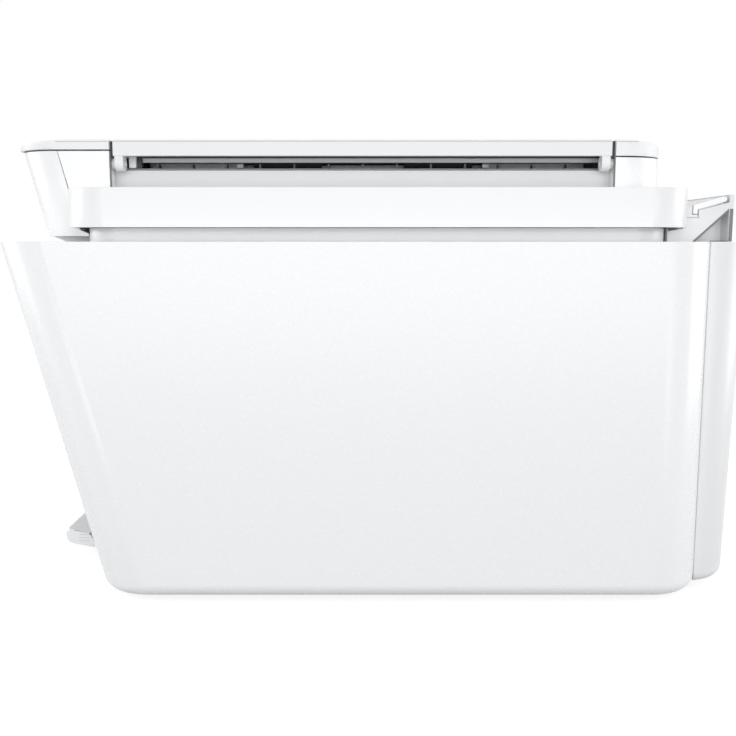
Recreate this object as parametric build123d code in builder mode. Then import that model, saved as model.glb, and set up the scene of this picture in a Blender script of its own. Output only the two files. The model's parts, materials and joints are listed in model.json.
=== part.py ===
from build123d import *

import os
from math import cos, hypot, radians, sin, tan

os.makedirs("parts", exist_ok=True)

# A compact inkjet printer, scanner and copier, in millimetres.
# X runs across the width, the front faces -Y, Z is up, and the floor is at zero.

# Heights of the stacked casings
foot_height = 2.5
body_height = 157.3
neck_height = 6.2
band_height = 17.1
fascia_lift = 2.6
rim_rise = 14.7
front_rim_rise = 2.8
seam_gap = 0.7
top_thickness = 7.2

# Plan sizes and the setbacks from the overall depth
body_width = 428.0
overall_depth = 336.0
lean = 14.6
body_front_setback = 1.3
body_rear_setback = 21.5
body_corner_radius = 23.5
bottom_radius = 6.5
rear_bottom_lift = 1.4
rear_bottom_radius = 5.0
wall = 2.5
rear_cover_inset = 15.0
rear_cover_radius = 21.0
rear_draft = 1.44
neck_inset = 24.0
neck_front_setback = 35.6
neck_rear_setback = 36.5
neck_radius = 15.0
band_inset = 12.0
band_front_setback = 29.0
band_rear_setback = 29.2
band_radius = 20.0
scanner_inset = 36.0
scanner_front_setback = 11.5
scanner_rear_setback = 35.3
scanner_radius = 20.0
fascia_depth = 21.2
top_front_run = 34.0
top_rear_run = 26.0
top_rear_drop = 3.0
crown_bend = 0.42
nose_height = 1.6
fascia_lap = 1.1
block_setback = 14.0
block_slant = 6.4

# Rubber feet
foot_radius = 9.0
foot_side_margin = 64.0
foot_front_margin = 31.0
foot_rear_margin = 28.5
foot_edge = 0.6

# Centre part of the body between the side covers
side_cover_width = 44.0
panel_gap = 0.3
floor_margin = 0.6

# Document feeder at the right side
notch_front_setback = 46.0
notch_rear_margin = 24.6
notch_depth = 10.0
guide_rise = 10.5
flap_reach = 117.5
flap_thickness = 3.0
flap_gap = 1.8
flap_pivot_inset = 4.0
flap_pivot_rise = 12.1
knuckle_radius = 3.5
flap_edge_radius = 1.4
knuckle_length = 3.8
ear_inset = 0.4
ear_thickness = 1.6
ear_radius = 2.2
end_block_depth = 11.0
end_block_length = 3.1
pin_radius = 1.2
pin_clearance = 0.05
feed_roller_inset = 28.0
adf_roller_radius = 4.2
adf_idler_radius = 4.0
paper_gap = 0.4
roller_half_length = 55.0
roller_play = 0.7
roller_end_gap = 2.5
sleeve_start = 20.0
bearing_length = 3.0
bearing_half = 4.0
bearing_drop = 3.0
exit_width = 220.0
shaft_radius = 1.5
rib_height = 1.0
rib_pitch = 16.0
rib_count = 13
rib_thickness = 1.0
rib_setback = 1.1
gate_gap = 3.1
gate_depth = 6.5
gate_inset = 2.0
gate_end_gap = 2.0
backing_inset = 2.0
backing_radius = 2.5

# Glass, scan bar and its rail
bezel_thickness = 3.0
bezel_ledge = 2.0
bezel_drop = 0.2
bezel_roller_gap = 0.5
glass_ledge = 4.0
glass_thickness = 2.9
glass_left_margin = 2.5
glass_right_margin = 35.0
glass_front_margin = 19.0
glass_rear_margin = 28.0
bar_width = 18.0
bar_height = 14.0
bar_overhang = 2.0
lens_width = 6.0
lens_depth = 1.0
scan_rail_radius = 2.5
scan_rail_rise = 5.0
rail_support_half = 7.0
shoe_drop = 4.0
scan_belt_margin = 15.0
scan_motor_inset = 18.0
scan_motor_radius = 10.0
scan_belt_drop = 7.0
scan_belt_height = 4.0
scan_pulley_radius = 5.0

# Lid hinge and left control strip
deck_width = 21.5
deck_skin = 1.5
lid_side_gap = 0.8
lid_skirt = 1.4
lid_web_drop = 6.7
hinge_setback = 31.0
hinge_knuckle_radius = 4.0
hinge_pin_radius = 1.5
hinge_drop = 1.6
hinge_spacing = 190.0
hinge_width = 20.0
hinge_ear = 4.0
hinge_play = 1.0
hinge_side_gap = 0.4
hinge_arm_thickness = 4.0
bracket_thickness = 2.0
bracket_rise = 4.0
bracket_foot = 4.0
key_recess = 1.0
key_radius = 4.5
key_travel = 0.8
key_gap = 0.3
key_play = 0.2
key_edge = 0.4
collar_width = 1.2
window_width = 12.0
window_length = 62.0
window_recess = 0.8
window_radius = 2.0
field_width = 15.0
key_rear_margin = 22.0
key_pitch = 24.0
key_group_gap = 28.0
power_margin = 10.0

# Front door, output opening and tray
door_top_margin = 8.0
door_height = 80.0
door_margin = 20.0
door_gap = 0.5
door_pin_radius = 0.8
door_pin_length = 4.0
output_margin = 30.0
output_low = 34.0
output_high = 66.0
tray_margin = 17.0
tray_front_setback = 9.5
tray_overlap = 33.0
tray_thickness = 2.4
tray_wall_top = 9.7
tray_gap = 0.5
lip_lift = 2.6
lip_depth = 13.9
lip_curve = 4.0
lip_slope = 2.0
lip_round = 1.3
lip_fall = 1.4
lip_chin = 2.6
nose_rise = 2.6
catch_length = 27.0
catch_thickness = 2.4
catch_ear = 3.0
catch_pin_radius = 0.6
catch_lean = 40.0
catch_axis_setback = 12.7
catch_axis_height = 15.5

# Rear cover's screws and sockets
screw_margin = 34.0
screw_low_rise = 32.5
screw_high_drop = 27.5
screw_head_radius = 3.2
screw_head_height = 2.4
screw_slot_depth = 1.2
screw_depth = 4.0
screw_cross_length = 4.5
screw_cross_width = 0.6
boss_radius = 5.5
boss_length = 7.5
inlet_margin = 49.0
inlet_z = 21.0
inlet_width = 28.0
inlet_height = 18.0
inlet_slot_width = 16.8
inlet_slot_height = 9.0
inlet_pin_spread = 4.3
inlet_pin_radius = 1.2
socket_spacing = 38.0
socket_depth = 14.0
usb_width = 14.0
usb_height = 13.0
usb_bore_width = 8.4
usb_bore_height = 7.8
usb_tongue_width = 5.6
usb_tongue_height = 2.8

# Rear paper hopper and its telescoping support
hopper_inset = 33.0
pocket_width = 9.0
hopper_wall_setback = 6.4
hopper_wall = 2.0
hopper_rise = 21.2
cover_front_setback = 24.7
cover_slope = 16.0
cover_thickness = 2.4
cover_tip = 3.8
cover_drop = 6.9
cover_axis_setback = 10.8
feed_tilt = 8.0
chute_setback = 18.0
chute_rise = 16.6
chute_length = 112.0
chute_thickness = 2.5
chute_width = 320.0
chute_step = 14.0
chute_end = 1.5
side_wall = 3.0
gusset_gap = 0.5
gusset_rise = 15.0
shelf_drop = 12.5
cover_gap = 0.5
pad_width = 40.0
pad_length = 22.0
pad_margin = 12.0
pad_depth = 1.5
pad_play = 0.2
sheet_width = 216.0
support_width = 130.0
support_thickness = 3.0
support_length = 150.0
extension_width = 90.0
extension_thickness = 1.5
extension_length = 96.0
slide_gap = 0.8
support_stop = 2.0
cover_arm_spread = 66.0
cover_arm_width = 6.0
cover_arm_radius = 1.1
cover_arm_root = 4.0
cover_pin_radius = 0.6
cover_pin_reach = 2.5

# Paper guides
fence_thickness = 2.0
fence_low = -72.0
fence_high = -8.0
fence_height = 8.5
fence_foot = 14.0
fence_foot_length = 42.0

# Print mechanism
chassis_margin = 11.0
plate_thickness = 2.0
feed_roller_setback = 86.5
feed_roller_z = 42.0
feed_roller_radius = 7.5
roller_span = 85.0
output_roller_radius = 5.0
pinch_radius = 4.0
pickup_radius = 15.0
pickup_depth = 88.0
drive_shaft_radius = 3.0
gear_width = 7.0
feed_gear_radius = 20.0
output_gear_radius = 16.0
pickup_gear_radius = 16.0
gear_gap = 0.3
tooth_depth = 1.4
tooth_gap = 1.6
teeth_per_mm = 2.0
gear_offset = 1.0
stud_radius = 2.5
pinion_radius = 5.0
output_lift = 1.0
sleeve_count = 4
sleeve_pitch = 70.0
sleeve_margin = 7.0
output_sleeve = 30.0
pinch_sleeve = 50.0
motor_angle = 18.0
motor_length = 25.0
feed_motor_radius = 14.0
carriage_motor_radius = 13.0
motor_shaft_radius = 2.0
chassis_front_reach = 20.0
chassis_rear_gap = 16.5
beam_setback = 24.0
beam_rise = 11.0
beam_depth = 16.0
low_beam_lift = 3.0
rail_seat = 10.0
rail_headroom = 14.0
shelf_front = 12.0
belt_end_margin = 17.0
post_reach = 10.0
post_inset = 8.0
post_radius = 2.0
platen_rib_pitch = 23.0
platen_rib_margin = 17.25
platen_roller_gap = 10.0
platen_rib_height = 1.0
cap_length = 40.0
cap_margin = 12.0
cap_inset = 3.0
cap_height = 4.0
cap_wall = 2.0
station_lift = 3.0
station_bracket = 16.0
carriage_depth = 54.0
carriage_height = 48.0
carriage_lift = 3.0
carriage_wall = 2.5
divider_half = 2.0
bush_half = 9.0
clamp_half = 10.0
rail_web = 4.0
grip_gap = 0.1
cartridge_height = 50.0
carriage_width = 72.0
carriage_park_margin = 52.0
rail_radius = 4.0
rail_setback = 4.0
rail_z = 90.0
belt_height = 6.0
belt_setback = 16.0
belt_z = 107.0
pulley_radius = 5.5
belt_thickness = 1.0
running_gap = 0.3
shaft_clearance = 0.05

# Electronics
board_standoff = 6.0
board_thickness = 1.6
board_overhang = 5.0
board_rear_gap = 40.0
board_lift = 19.0
board_height = 80.0
chip_rise = 3.0
power_front_gap = 14.0
power_side_gap = 6.0
power_length = 70.0
power_height = 58.0
power_outer_margin = 7.5
power_edge = 2.5

# Chips on the main board: shares of its length and height, then their own length and height
chips = [(0.15, 0.45, 24.0, 24.0), (0.5, 0.2, 18.0, 18.0), (0.75, 0.55, 14.0, 22.0), (0.1, 0.1, 30.0, 10.0)]

# Places worked out from the sizes above
half_body = body_width / 2
front_tip_y = -overall_depth / 2
rear_face_y = overall_depth / 2
body_bottom = foot_height
body_top = body_bottom + body_height
neck_top = body_top + neck_height
band_top = neck_top + band_height
rim_top = band_top + rim_rise
front_rim_top = rim_top + front_rim_rise
top_bottom = rim_top + seam_gap
front_top_bottom = front_rim_top + seam_gap
top_z = top_bottom + top_thickness
floor_top = body_bottom + wall
lean_slope = tan(radians(lean))
lean_cos = cos(radians(lean))
lean_sin = sin(radians(lean))
body_front_y = front_tip_y + body_front_setback
body_rear_y = rear_face_y - body_rear_setback
half_centre = half_body - side_cover_width
half_rear = half_body - rear_cover_inset
half_neck = half_body - neck_inset
half_band = half_body - band_inset
half_scanner = half_body - scanner_inset
neck_front_y = front_tip_y + neck_front_setback
neck_rear_y = rear_face_y - neck_rear_setback
band_front_y = front_tip_y + band_front_setback
band_rear_y = rear_face_y - band_rear_setback
scanner_rear_y = rear_face_y - scanner_rear_setback
fascia_bottom = body_top + fascia_lift
base_bottom = neck_top + panel_gap
base_floor = base_bottom + wall
notch_front_y = front_tip_y + notch_front_setback
notch_rear_y = scanner_rear_y - notch_rear_margin
notch_middle = (notch_front_y + notch_rear_y) / 2
notch_x = half_scanner - notch_depth
guide_top = band_top + guide_rise
bezel_top = guide_top - bezel_drop
bezel_bottom = bezel_top - bezel_thickness


# Simple forms shared by the pieces


def block(x, y, z):
    """A block between a low and a high value of x, y and z."""
    with BuildPart() as solid:
        with Locations((x[0], y[0], z[0])):
            Box(x[1] - x[0], y[1] - y[0], z[1] - z[0], align=(Align.MIN, Align.MIN, Align.MIN))
    return solid.part


def prism(outline, x):
    """A closed outline of (y, z) points, pushed from one x to another."""
    with BuildPart() as solid:
        with BuildSketch(Plane.YZ.offset(x[0])):
            with BuildLine():
                Polyline(*outline, close=True)
            make_face()
        extrude(amount=x[1] - x[0])
    return solid.part


def profile(outline, y):
    """A closed outline of (x, z) points, pushed from one y to another."""
    with BuildPart() as solid:
        with BuildSketch(Plane.XZ.offset(-y[1])):
            with BuildLine():
                Polyline(*outline, close=True)
            make_face()
        extrude(amount=y[1] - y[0])
    return solid.part


def rounded(x, y, z, radius):
    """A block whose four upright corners are rounded."""
    with BuildPart() as solid:
        with BuildSketch(Plane.XY.offset(z[0])):
            with Locations(((x[0] + x[1]) / 2, (y[0] + y[1]) / 2)):
                RectangleRounded(x[1] - x[0], y[1] - y[0], radius)
        extrude(amount=z[1] - z[0])
    return solid.part


def rod_x(x, y, z, radius):
    """A round rod along the width."""
    with BuildPart() as solid:
        with BuildSketch(Plane.YZ.offset(x[0])):
            with Locations((y, z)):
                Circle(radius)
        extrude(amount=x[1] - x[0])
    return solid.part


def rod_y(x, y, z, radius):
    """A round rod along the depth."""
    with BuildPart() as solid:
        with BuildSketch(Plane.XZ.offset(-y[1])):
            with Locations((x, z)):
                Circle(radius)
        extrude(amount=y[1] - y[0])
    return solid.part


def rod_z(x, y, z, radius):
    """A round upright rod."""
    with BuildPart() as solid:
        with BuildSketch(Plane.XY.offset(z[0])):
            with Locations((x, y)):
                Circle(radius)
        extrude(amount=z[1] - z[0])
    return solid.part


def body_front(z):
    """Where the slanted front of the body stands at a height."""
    return body_front_y + (body_top - z) * lean_slope


def scanner_front(z):
    """Where the slanted front of the scanner stands at a height."""
    return front_tip_y + scanner_front_setback - (z - fascia_bottom) * lean_slope


def upright_edges(solid, low, high):
    """The near-upright edges of a solid whose middles lie between two y values."""
    return [e for e in solid.edges() if abs(e.tangent_at(0.5).Z) > 0.9 and low < e.center().Y < high]


def body_form(inset, z_low, z_high):
    """The outer form of the body, drawn in on its upright sides and cut to a height."""
    setback = inset / lean_cos
    outline = [
        (body_front(0) + setback, 0),
        (body_rear_y - inset, 0),
        (body_rear_y - inset, top_z),
        (body_front(top_z) + setback, top_z),
    ]
    with BuildPart() as form:
        add(prism(outline, (inset - half_body, half_body - inset)))
        fillet(upright_edges(form, -overall_depth, overall_depth), body_corner_radius - inset)
        height_range = block((-body_width, body_width), (-overall_depth, overall_depth), (z_low, z_high))
        add(height_range, mode=Mode.INTERSECT)
    return form.part


def body_shell():
    """The hollow body, open underneath inside its turned-in lower edge."""
    with BuildPart() as shell:
        add(body_form(0, body_bottom, body_top))
        fillet(shell.faces().sort_by(Axis.Z)[0].edges(), bottom_radius)
        add(body_form(wall, floor_top, body_top - wall), mode=Mode.SUBTRACT)
        add(body_form(bottom_radius + panel_gap, 0, floor_top + wall), mode=Mode.SUBTRACT)
    return shell.part


def scanner_form(outline):
    """The scanner's outer block with rounded uprights, kept inside a side outline."""
    tall = [
        (scanner_front(body_top), body_top),
        (scanner_rear_y, body_top),
        (scanner_rear_y, top_z),
        (scanner_front(top_z), top_z),
    ]
    with BuildPart() as form:
        add(prism(tall, (-half_scanner, half_scanner)))
        fillet(upright_edges(form, -overall_depth, overall_depth), scanner_radius)
        add(prism(outline, (-body_width, body_width)), mode=Mode.INTERSECT)
    return form.part


def top_form(x):
    """The low crowned top of the scanner, cut to a stretch of the width."""
    nose_z = front_top_bottom + nose_height
    with BuildPart() as form:
        with BuildSketch(Plane.YZ.offset(x[0])):
            with BuildLine():
                Bezier(
                    (front_tip_y, nose_z),
                    (front_tip_y + crown_bend * top_front_run, top_z),
                    (front_tip_y + top_front_run, top_z),
                )
                Line((front_tip_y + top_front_run, top_z), (scanner_rear_y - top_rear_run, top_z))
                Bezier(
                    (scanner_rear_y - top_rear_run, top_z),
                    (scanner_rear_y - crown_bend * top_rear_run, top_z),
                    (scanner_rear_y, top_z - top_rear_drop),
                )
                Polyline(
                    (scanner_rear_y, top_z - top_rear_drop),
                    (scanner_rear_y, top_bottom),
                    (notch_front_y, top_bottom),
                    (notch_front_y, front_top_bottom),
                    (scanner_front(front_top_bottom), front_top_bottom),
                    (front_tip_y, nose_z),
                )
            make_face()
        extrude(amount=x[1] - x[0])
        plan = rounded(
            (-half_scanner, half_scanner),
            (front_tip_y, scanner_rear_y),
            (rim_top, top_z + wall),
            scanner_radius,
        )
        add(plan, mode=Mode.INTERSECT)
    return form.part


# Bottom case: the floor that carries the mechanism, with the tray's side guides
half_tray = half_centre - tray_margin
feed_roller_y = body_rear_y - feed_roller_setback
output_roller_y = feed_roller_y - roller_span
tray_rear = output_roller_y + tray_overlap
guide_low = half_tray + tray_gap
guide_high = guide_low + plate_thickness
with BuildPart() as bottom_case:
    add(body_form(bottom_radius + floor_margin, body_bottom, floor_top))
    inner_centre = half_centre - panel_gap
    add(block((-inner_centre, inner_centre), (body_front(0) + wall, body_rear_y), (body_bottom, floor_top)))
    for side in (-1, 1):
        ends = sorted((side * guide_low, side * guide_high))
        add(block(ends, (body_front(0) + 2 * bottom_radius, tray_rear), (floor_top, tray_wall_top)))
    front_trim = bottom_radius + floor_margin
    add(
        block(
            (-half_body, half_body),
            (front_tip_y, body_front(body_bottom) + front_trim / lean_cos),
            (body_bottom - wall, floor_top),
        ),
        mode=Mode.SUBTRACT,
    )

# Side covers: tall shells that wrap the slanted front and upright rear corners
with BuildPart() as right_side_cover:
    add(body_shell())
    add(block((-body_width, half_centre), (-overall_depth, overall_depth), (0, top_z)), mode=Mode.SUBTRACT)

with BuildPart() as left_side_cover:
    mirror(right_side_cover.part, about=Plane.YZ)

# Front panel: the slanted centre, open for the cartridge door, the output and the tray
front_plane = Plane(
    origin=(0, body_front_y, body_top), x_dir=(1, 0, 0), z_dir=(0, -lean_cos, -lean_sin)
)
door_width = 2 * (half_centre - door_margin)
output_width = 2 * (half_centre - output_margin)
door_middle = -door_top_margin - door_height / 2
output_middle = ((output_low + output_high) / 2 - body_top) / lean_cos
output_run = (output_high - output_low) / lean_cos
door_axis_along = -door_top_margin - door_height + wall / 2
door_axis_y = body_front_y - door_axis_along * lean_sin + wall / 2 * lean_cos
door_axis_z = body_top + door_axis_along * lean_cos + wall / 2 * lean_sin
with BuildPart() as front_panel:
    add(body_shell())
    panel_space = block(
        (-half_centre + panel_gap, half_centre - panel_gap),
        (-overall_depth, neck_front_y + 2 * wall),
        (0, body_top - wall - panel_gap),
    )
    add(panel_space, mode=Mode.INTERSECT)
    with BuildSketch(front_plane):
        with Locations((0, door_middle)):
            Rectangle(door_width + 2 * door_gap, door_height + 2 * door_gap)
        with Locations((0, output_middle)):
            Rectangle(output_width, output_run)
    extrude(amount=-2 * wall, mode=Mode.SUBTRACT)
    tray_opening = block(
        (-half_tray - tray_gap, half_tray + tray_gap),
        (front_tip_y, neck_front_y + 2 * bottom_radius + wall),
        (0, catch_axis_height + tray_gap),
    )
    add(tray_opening, mode=Mode.SUBTRACT)
    pin_reach = door_width / 2 + door_pin_length + door_gap
    add(
        rod_x((-pin_reach, pin_reach), door_axis_y, door_axis_z, door_pin_radius + pin_clearance),
        mode=Mode.SUBTRACT,
    )

# Cartridge door, with stub pins at its lower corners
with BuildPart() as cartridge_door:
    with BuildSketch(front_plane):
        with Locations((0, -door_top_margin)):
            Rectangle(door_width, door_height - wall / 2, align=(Align.CENTER, Align.MAX))
    extrude(amount=-wall)
    add(rod_x((-door_width / 2, door_width / 2), door_axis_y, door_axis_z, wall / 2))
    door_pin_end = door_width / 2 + door_pin_length
    add(rod_x((-door_pin_end, door_pin_end), door_axis_y, door_axis_z, door_pin_radius))

# Rear cover: a drafted box behind the body, open above for the paper hopper
half_hopper = half_body - hopper_inset
pocket_x = half_hopper - pocket_width
hopper_rear_y = rear_face_y - hopper_wall_setback
hopper_front_face = hopper_rear_y - hopper_wall
rear_top = body_top - panel_gap
rear_bottom = body_bottom + rear_bottom_lift
rear_floor = rear_bottom + wall
draft_slope = tan(radians(rear_draft))
rear_start = body_rear_y - bottom_radius
screw_x = half_rear - screw_margin
screw_levels = (body_bottom + screw_low_rise, rear_top - screw_high_drop)
inlet_x = inlet_margin - half_rear
usb_x = inlet_x + socket_spacing


def rear_face(z):
    """Where the drafted rear face stands at a height."""
    return rear_face_y - (rear_top - z) * draft_slope


def rear_form(inset, z_low, z_high):
    """The outer form of the rear cover, drawn in by an inset and cut to a height."""
    outline = [
        (rear_start, 0),
        (rear_face(0) - inset, 0),
        (rear_face(top_z) - inset, top_z),
        (rear_start, top_z),
    ]
    with BuildPart() as form:
        add(prism(outline, (inset - half_rear, half_rear - inset)))
        fillet(upright_edges(form, body_rear_y, overall_depth), rear_cover_radius - inset)
        add(block((-body_width, body_width), (0, overall_depth), (z_low, z_high)), mode=Mode.INTERSECT)
    return form.part


with BuildPart() as rear_cover:
    add(rear_form(0, rear_bottom, rear_top))
    lower_edges = rear_cover.faces().sort_by(Axis.Z)[0].edges()
    fillet([e for e in lower_edges if e.center().Y > body_rear_y - wall], rear_bottom_radius)
    add(rear_form(wall, rear_floor, rear_top - wall), mode=Mode.SUBTRACT)
    add(body_form(-panel_gap, 0, band_top), mode=Mode.SUBTRACT)
    hopper_hole = block(
        (-pocket_x - panel_gap, pocket_x + panel_gap),
        (rear_start, hopper_front_face - panel_gap),
        (rear_floor, top_z),
    )
    add(hopper_hole, mode=Mode.SUBTRACT)
    for side in (-1, 1):
        for level in screw_levels:
            boss_start = rear_face(level) - boss_length
            head_sink = (rear_face(level) - screw_depth, rear_face_y + wall)
            shank_run = (boss_start - wall, rear_face_y)
            shank_radius = shaft_radius + running_gap / 2
            add(rod_y(side * screw_x, (boss_start, rear_face(level) - wall / 2), level, boss_radius))
            add(rod_y(side * screw_x, head_sink, level, screw_head_radius + running_gap), mode=Mode.SUBTRACT)
            add(rod_y(side * screw_x, shank_run, level, shank_radius), mode=Mode.SUBTRACT)
    inlet_hole = block(
        (inlet_x - inlet_width / 2 - running_gap, inlet_x + inlet_width / 2 + running_gap),
        (body_rear_y + wall, rear_face_y + wall),
        (inlet_z - inlet_height / 2 - running_gap, inlet_z + inlet_height / 2 + running_gap),
    )
    add(inlet_hole, mode=Mode.SUBTRACT)
    usb_hole = block(
        (usb_x - usb_width / 2 - running_gap, usb_x + usb_width / 2 + running_gap),
        (body_rear_y + wall, rear_face_y + wall),
        (inlet_z - usb_height / 2 - running_gap, inlet_z + usb_height / 2 + running_gap),
    )
    add(usb_hole, mode=Mode.SUBTRACT)

# Case screws that hold the rear cover, with cross slots
cross_reach = screw_cross_length / 2
cross_half = screw_cross_width / 2
with BuildPart() as case_screws:
    for side in (-1, 1):
        for level in screw_levels:
            head_seat = rear_face(level) - screw_depth
            add(rod_y(side * screw_x, (head_seat, head_seat + screw_head_height), level, screw_head_radius))
            add(rod_y(side * screw_x, (head_seat - 2 * screw_depth, head_seat), level, shaft_radius))
            for across, up in ((cross_reach, cross_half), (cross_half, cross_reach)):
                slot = block(
                    (side * screw_x - across, side * screw_x + across),
                    (head_seat + screw_slot_depth, rear_face_y),
                    (level - up, level + up),
                )
                add(slot, mode=Mode.SUBTRACT)

# Power inlet: a recessed two-pin socket, and the data socket beside it
with BuildPart() as power_inlet:
    inlet_face = rear_face(inlet_z) - wall / 2
    add(
        block(
            (inlet_x - inlet_width / 2, inlet_x + inlet_width / 2),
            (inlet_face - socket_depth, inlet_face),
            (inlet_z - inlet_height / 2, inlet_z + inlet_height / 2),
        )
    )
    with BuildSketch(Plane.XZ.offset(-inlet_face)):
        with Locations((inlet_x, inlet_z)):
            SlotOverall(inlet_slot_width, inlet_slot_height)
    extrude(amount=socket_depth - wall, mode=Mode.SUBTRACT)
    for across in (-inlet_pin_spread, inlet_pin_spread):
        pin_run = (inlet_face - socket_depth + wall, inlet_face - wall)
        add(rod_y(inlet_x + across, pin_run, inlet_z, inlet_pin_radius))

with BuildPart() as usb_port:
    add(
        block(
            (usb_x - usb_width / 2, usb_x + usb_width / 2),
            (inlet_face - socket_depth, inlet_face),
            (inlet_z - usb_height / 2, inlet_z + usb_height / 2),
        )
    )
    bore_run = (inlet_face - socket_depth + wall, inlet_face)
    bore = block(
        (usb_x - usb_bore_width / 2, usb_x + usb_bore_width / 2),
        bore_run,
        (inlet_z - usb_bore_height / 2, inlet_z + usb_bore_height / 2),
    )
    add(bore, mode=Mode.SUBTRACT)
    tongue = block(
        (usb_x - usb_tongue_width / 2, usb_x + usb_tongue_width / 2),
        (bore_run[0], inlet_face - wall),
        (inlet_z - usb_tongue_height / 2, inlet_z + usb_tongue_height / 2),
    )
    add(tongue)

# Rubber feet: four round pads, dished where they meet the floor case
foot_x = half_body - foot_side_margin
foot_ys = (body_front(body_bottom) + foot_front_margin, body_rear_y - foot_rear_margin)
foot_places = [(side * foot_x, place) for side in (-1, 1) for place in foot_ys]
with BuildPart() as rubber_feet:
    with BuildSketch(Plane.XY):
        with Locations(*foot_places):
            Circle(foot_radius)
    extrude(amount=foot_height)
    fillet(rubber_feet.faces().filter_by(Axis.Z).group_by(Axis.Z)[0].edges(), foot_edge)

# Top deck: the plate that closes the body and the raised neck under the scanner
with BuildPart() as top_deck:
    add(rounded((-half_neck, half_neck), (neck_front_y, neck_rear_y), (body_top, neck_top), neck_radius))
    add(
        rounded(
            (wall - half_neck, half_neck - wall),
            (neck_front_y + wall, neck_rear_y - wall),
            (body_top, neck_top - wall),
            neck_radius - wall,
        ),
        mode=Mode.SUBTRACT,
    )
    plate_front = body_front_y + panel_gap
    add(
        prism(
            [
                (plate_front, body_top),
                (plate_front + wall * lean_slope, body_top - wall),
                (neck_rear_y, body_top - wall),
                (neck_rear_y, body_top),
            ],
            (-half_centre + panel_gap, half_centre - panel_gap),
        )
    )
    slanted_block = [
        (front_tip_y + block_setback, fascia_bottom),
        (front_tip_y + block_setback + block_slant, body_top),
        (neck_front_y, body_top),
        (neck_front_y, fascia_bottom),
    ]
    block_half = half_scanner - neck_radius
    add(prism(slanted_block, (-block_half, block_half)))

# Middle band: a skirt round the sides and rear of the scanner, open at the front
with BuildPart() as middle_band:
    add(rounded((-half_band, half_band), (band_front_y, band_rear_y), (neck_top, band_top), band_radius))
    hollow_x = half_band - wall
    band_hollow = rounded(
        (-hollow_x, hollow_x),
        (band_front_y + wall, band_rear_y - wall),
        (neck_top, band_top - wall),
        band_radius - wall,
    )
    add(band_hollow, mode=Mode.SUBTRACT)
    scanner_hole = half_scanner + panel_gap
    add(
        block((-scanner_hole, scanner_hole), (front_tip_y, scanner_rear_y + panel_gap), (body_top, rim_top)),
        mode=Mode.SUBTRACT,
    )

# Scanner base: the tub under the glass, notched at the right for the document flap
seam_low = scanner_front(base_bottom) + fascia_depth
inner_front = seam_low + wall
recess_wall = notch_x - wall
glass_left = deck_width + glass_left_margin - half_scanner
glass_right = half_scanner - glass_right_margin
glass_front = inner_front + glass_front_margin
glass_rear = scanner_rear_y - glass_rear_margin
scan_rail_y = (glass_front + glass_rear) / 2
scan_belt_y = scanner_rear_y - wall - scan_belt_margin
rail_height = base_floor + scan_rail_rise
with BuildPart() as tub_hollow:
    hollow_x = half_scanner - wall
    add(block((-hollow_x, hollow_x), (inner_front, scanner_rear_y - wall), (base_floor, top_z)))
    fillet(upright_edges(tub_hollow, scanner_rear_y - 2 * wall, rear_face_y), scanner_radius - wall)

with BuildPart() as scanner_base:
    outline = [
        (seam_low, base_bottom),
        (scanner_rear_y, base_bottom),
        (scanner_rear_y, rim_top),
        (notch_front_y, rim_top),
        (notch_front_y, front_rim_top),
        (scanner_front(front_rim_top) + fascia_depth, front_rim_top),
    ]
    add(scanner_form(outline))
    add(tub_hollow.part, mode=Mode.SUBTRACT)
    recess_x = (recess_wall, half_scanner - wall)
    notch_y = (notch_front_y, notch_rear_y)
    add(block(recess_x, (notch_front_y - wall, notch_rear_y + wall), (base_floor, front_rim_top - wall)))
    add(block(recess_x, notch_y, (base_floor, band_top - wall)), mode=Mode.SUBTRACT)
    add(block((notch_x, half_scanner + wall), notch_y, (band_top, top_z)), mode=Mode.SUBTRACT)
    add(block((recess_wall - wall, notch_x), notch_y, (guide_top, top_z)), mode=Mode.SUBTRACT)
    exit_y = (notch_middle - exit_width / 2, notch_middle + exit_width / 2)
    add(block((-half_scanner - wall, wall - half_scanner), exit_y, (guide_top, top_z)), mode=Mode.SUBTRACT)
    for end in (2 * wall - half_scanner, recess_wall - 2 * wall):
        rail_block = (scan_rail_y - rail_support_half, scan_rail_y + rail_support_half)
        add(block((end - wall, end), rail_block, (base_floor, rail_height + rail_support_half)))
    pulley_post = (base_floor, bezel_bottom - bezel_ledge)
    add(rod_z(glass_right + bar_overhang, scan_belt_y, pulley_post, scan_pulley_radius))

# Front fascia: the slanted nose of the scanner, with its underside turned back to the neck
with BuildPart() as front_fascia:
    outline = [
        (scanner_front(fascia_bottom), fascia_bottom),
        (neck_front_y - panel_gap, fascia_bottom),
        (neck_front_y - panel_gap, fascia_bottom + fascia_lap),
        (seam_low - panel_gap, base_bottom - fascia_lap),
        (scanner_front(front_rim_top) + fascia_depth - panel_gap, front_rim_top),
        (scanner_front(front_rim_top), front_rim_top),
    ]
    add(scanner_form(outline))
    hollow = [
        (scanner_front(fascia_bottom + wall) + wall, fascia_bottom + wall),
        (seam_low + fascia_lap, fascia_bottom + wall),
        (seam_low - fascia_depth / 4, front_rim_top - wall),
        (scanner_front(front_rim_top - wall) + wall, front_rim_top - wall),
    ]
    add(prism(hollow, (scanner_radius - half_scanner, half_scanner - scanner_radius)), mode=Mode.SUBTRACT)

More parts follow.
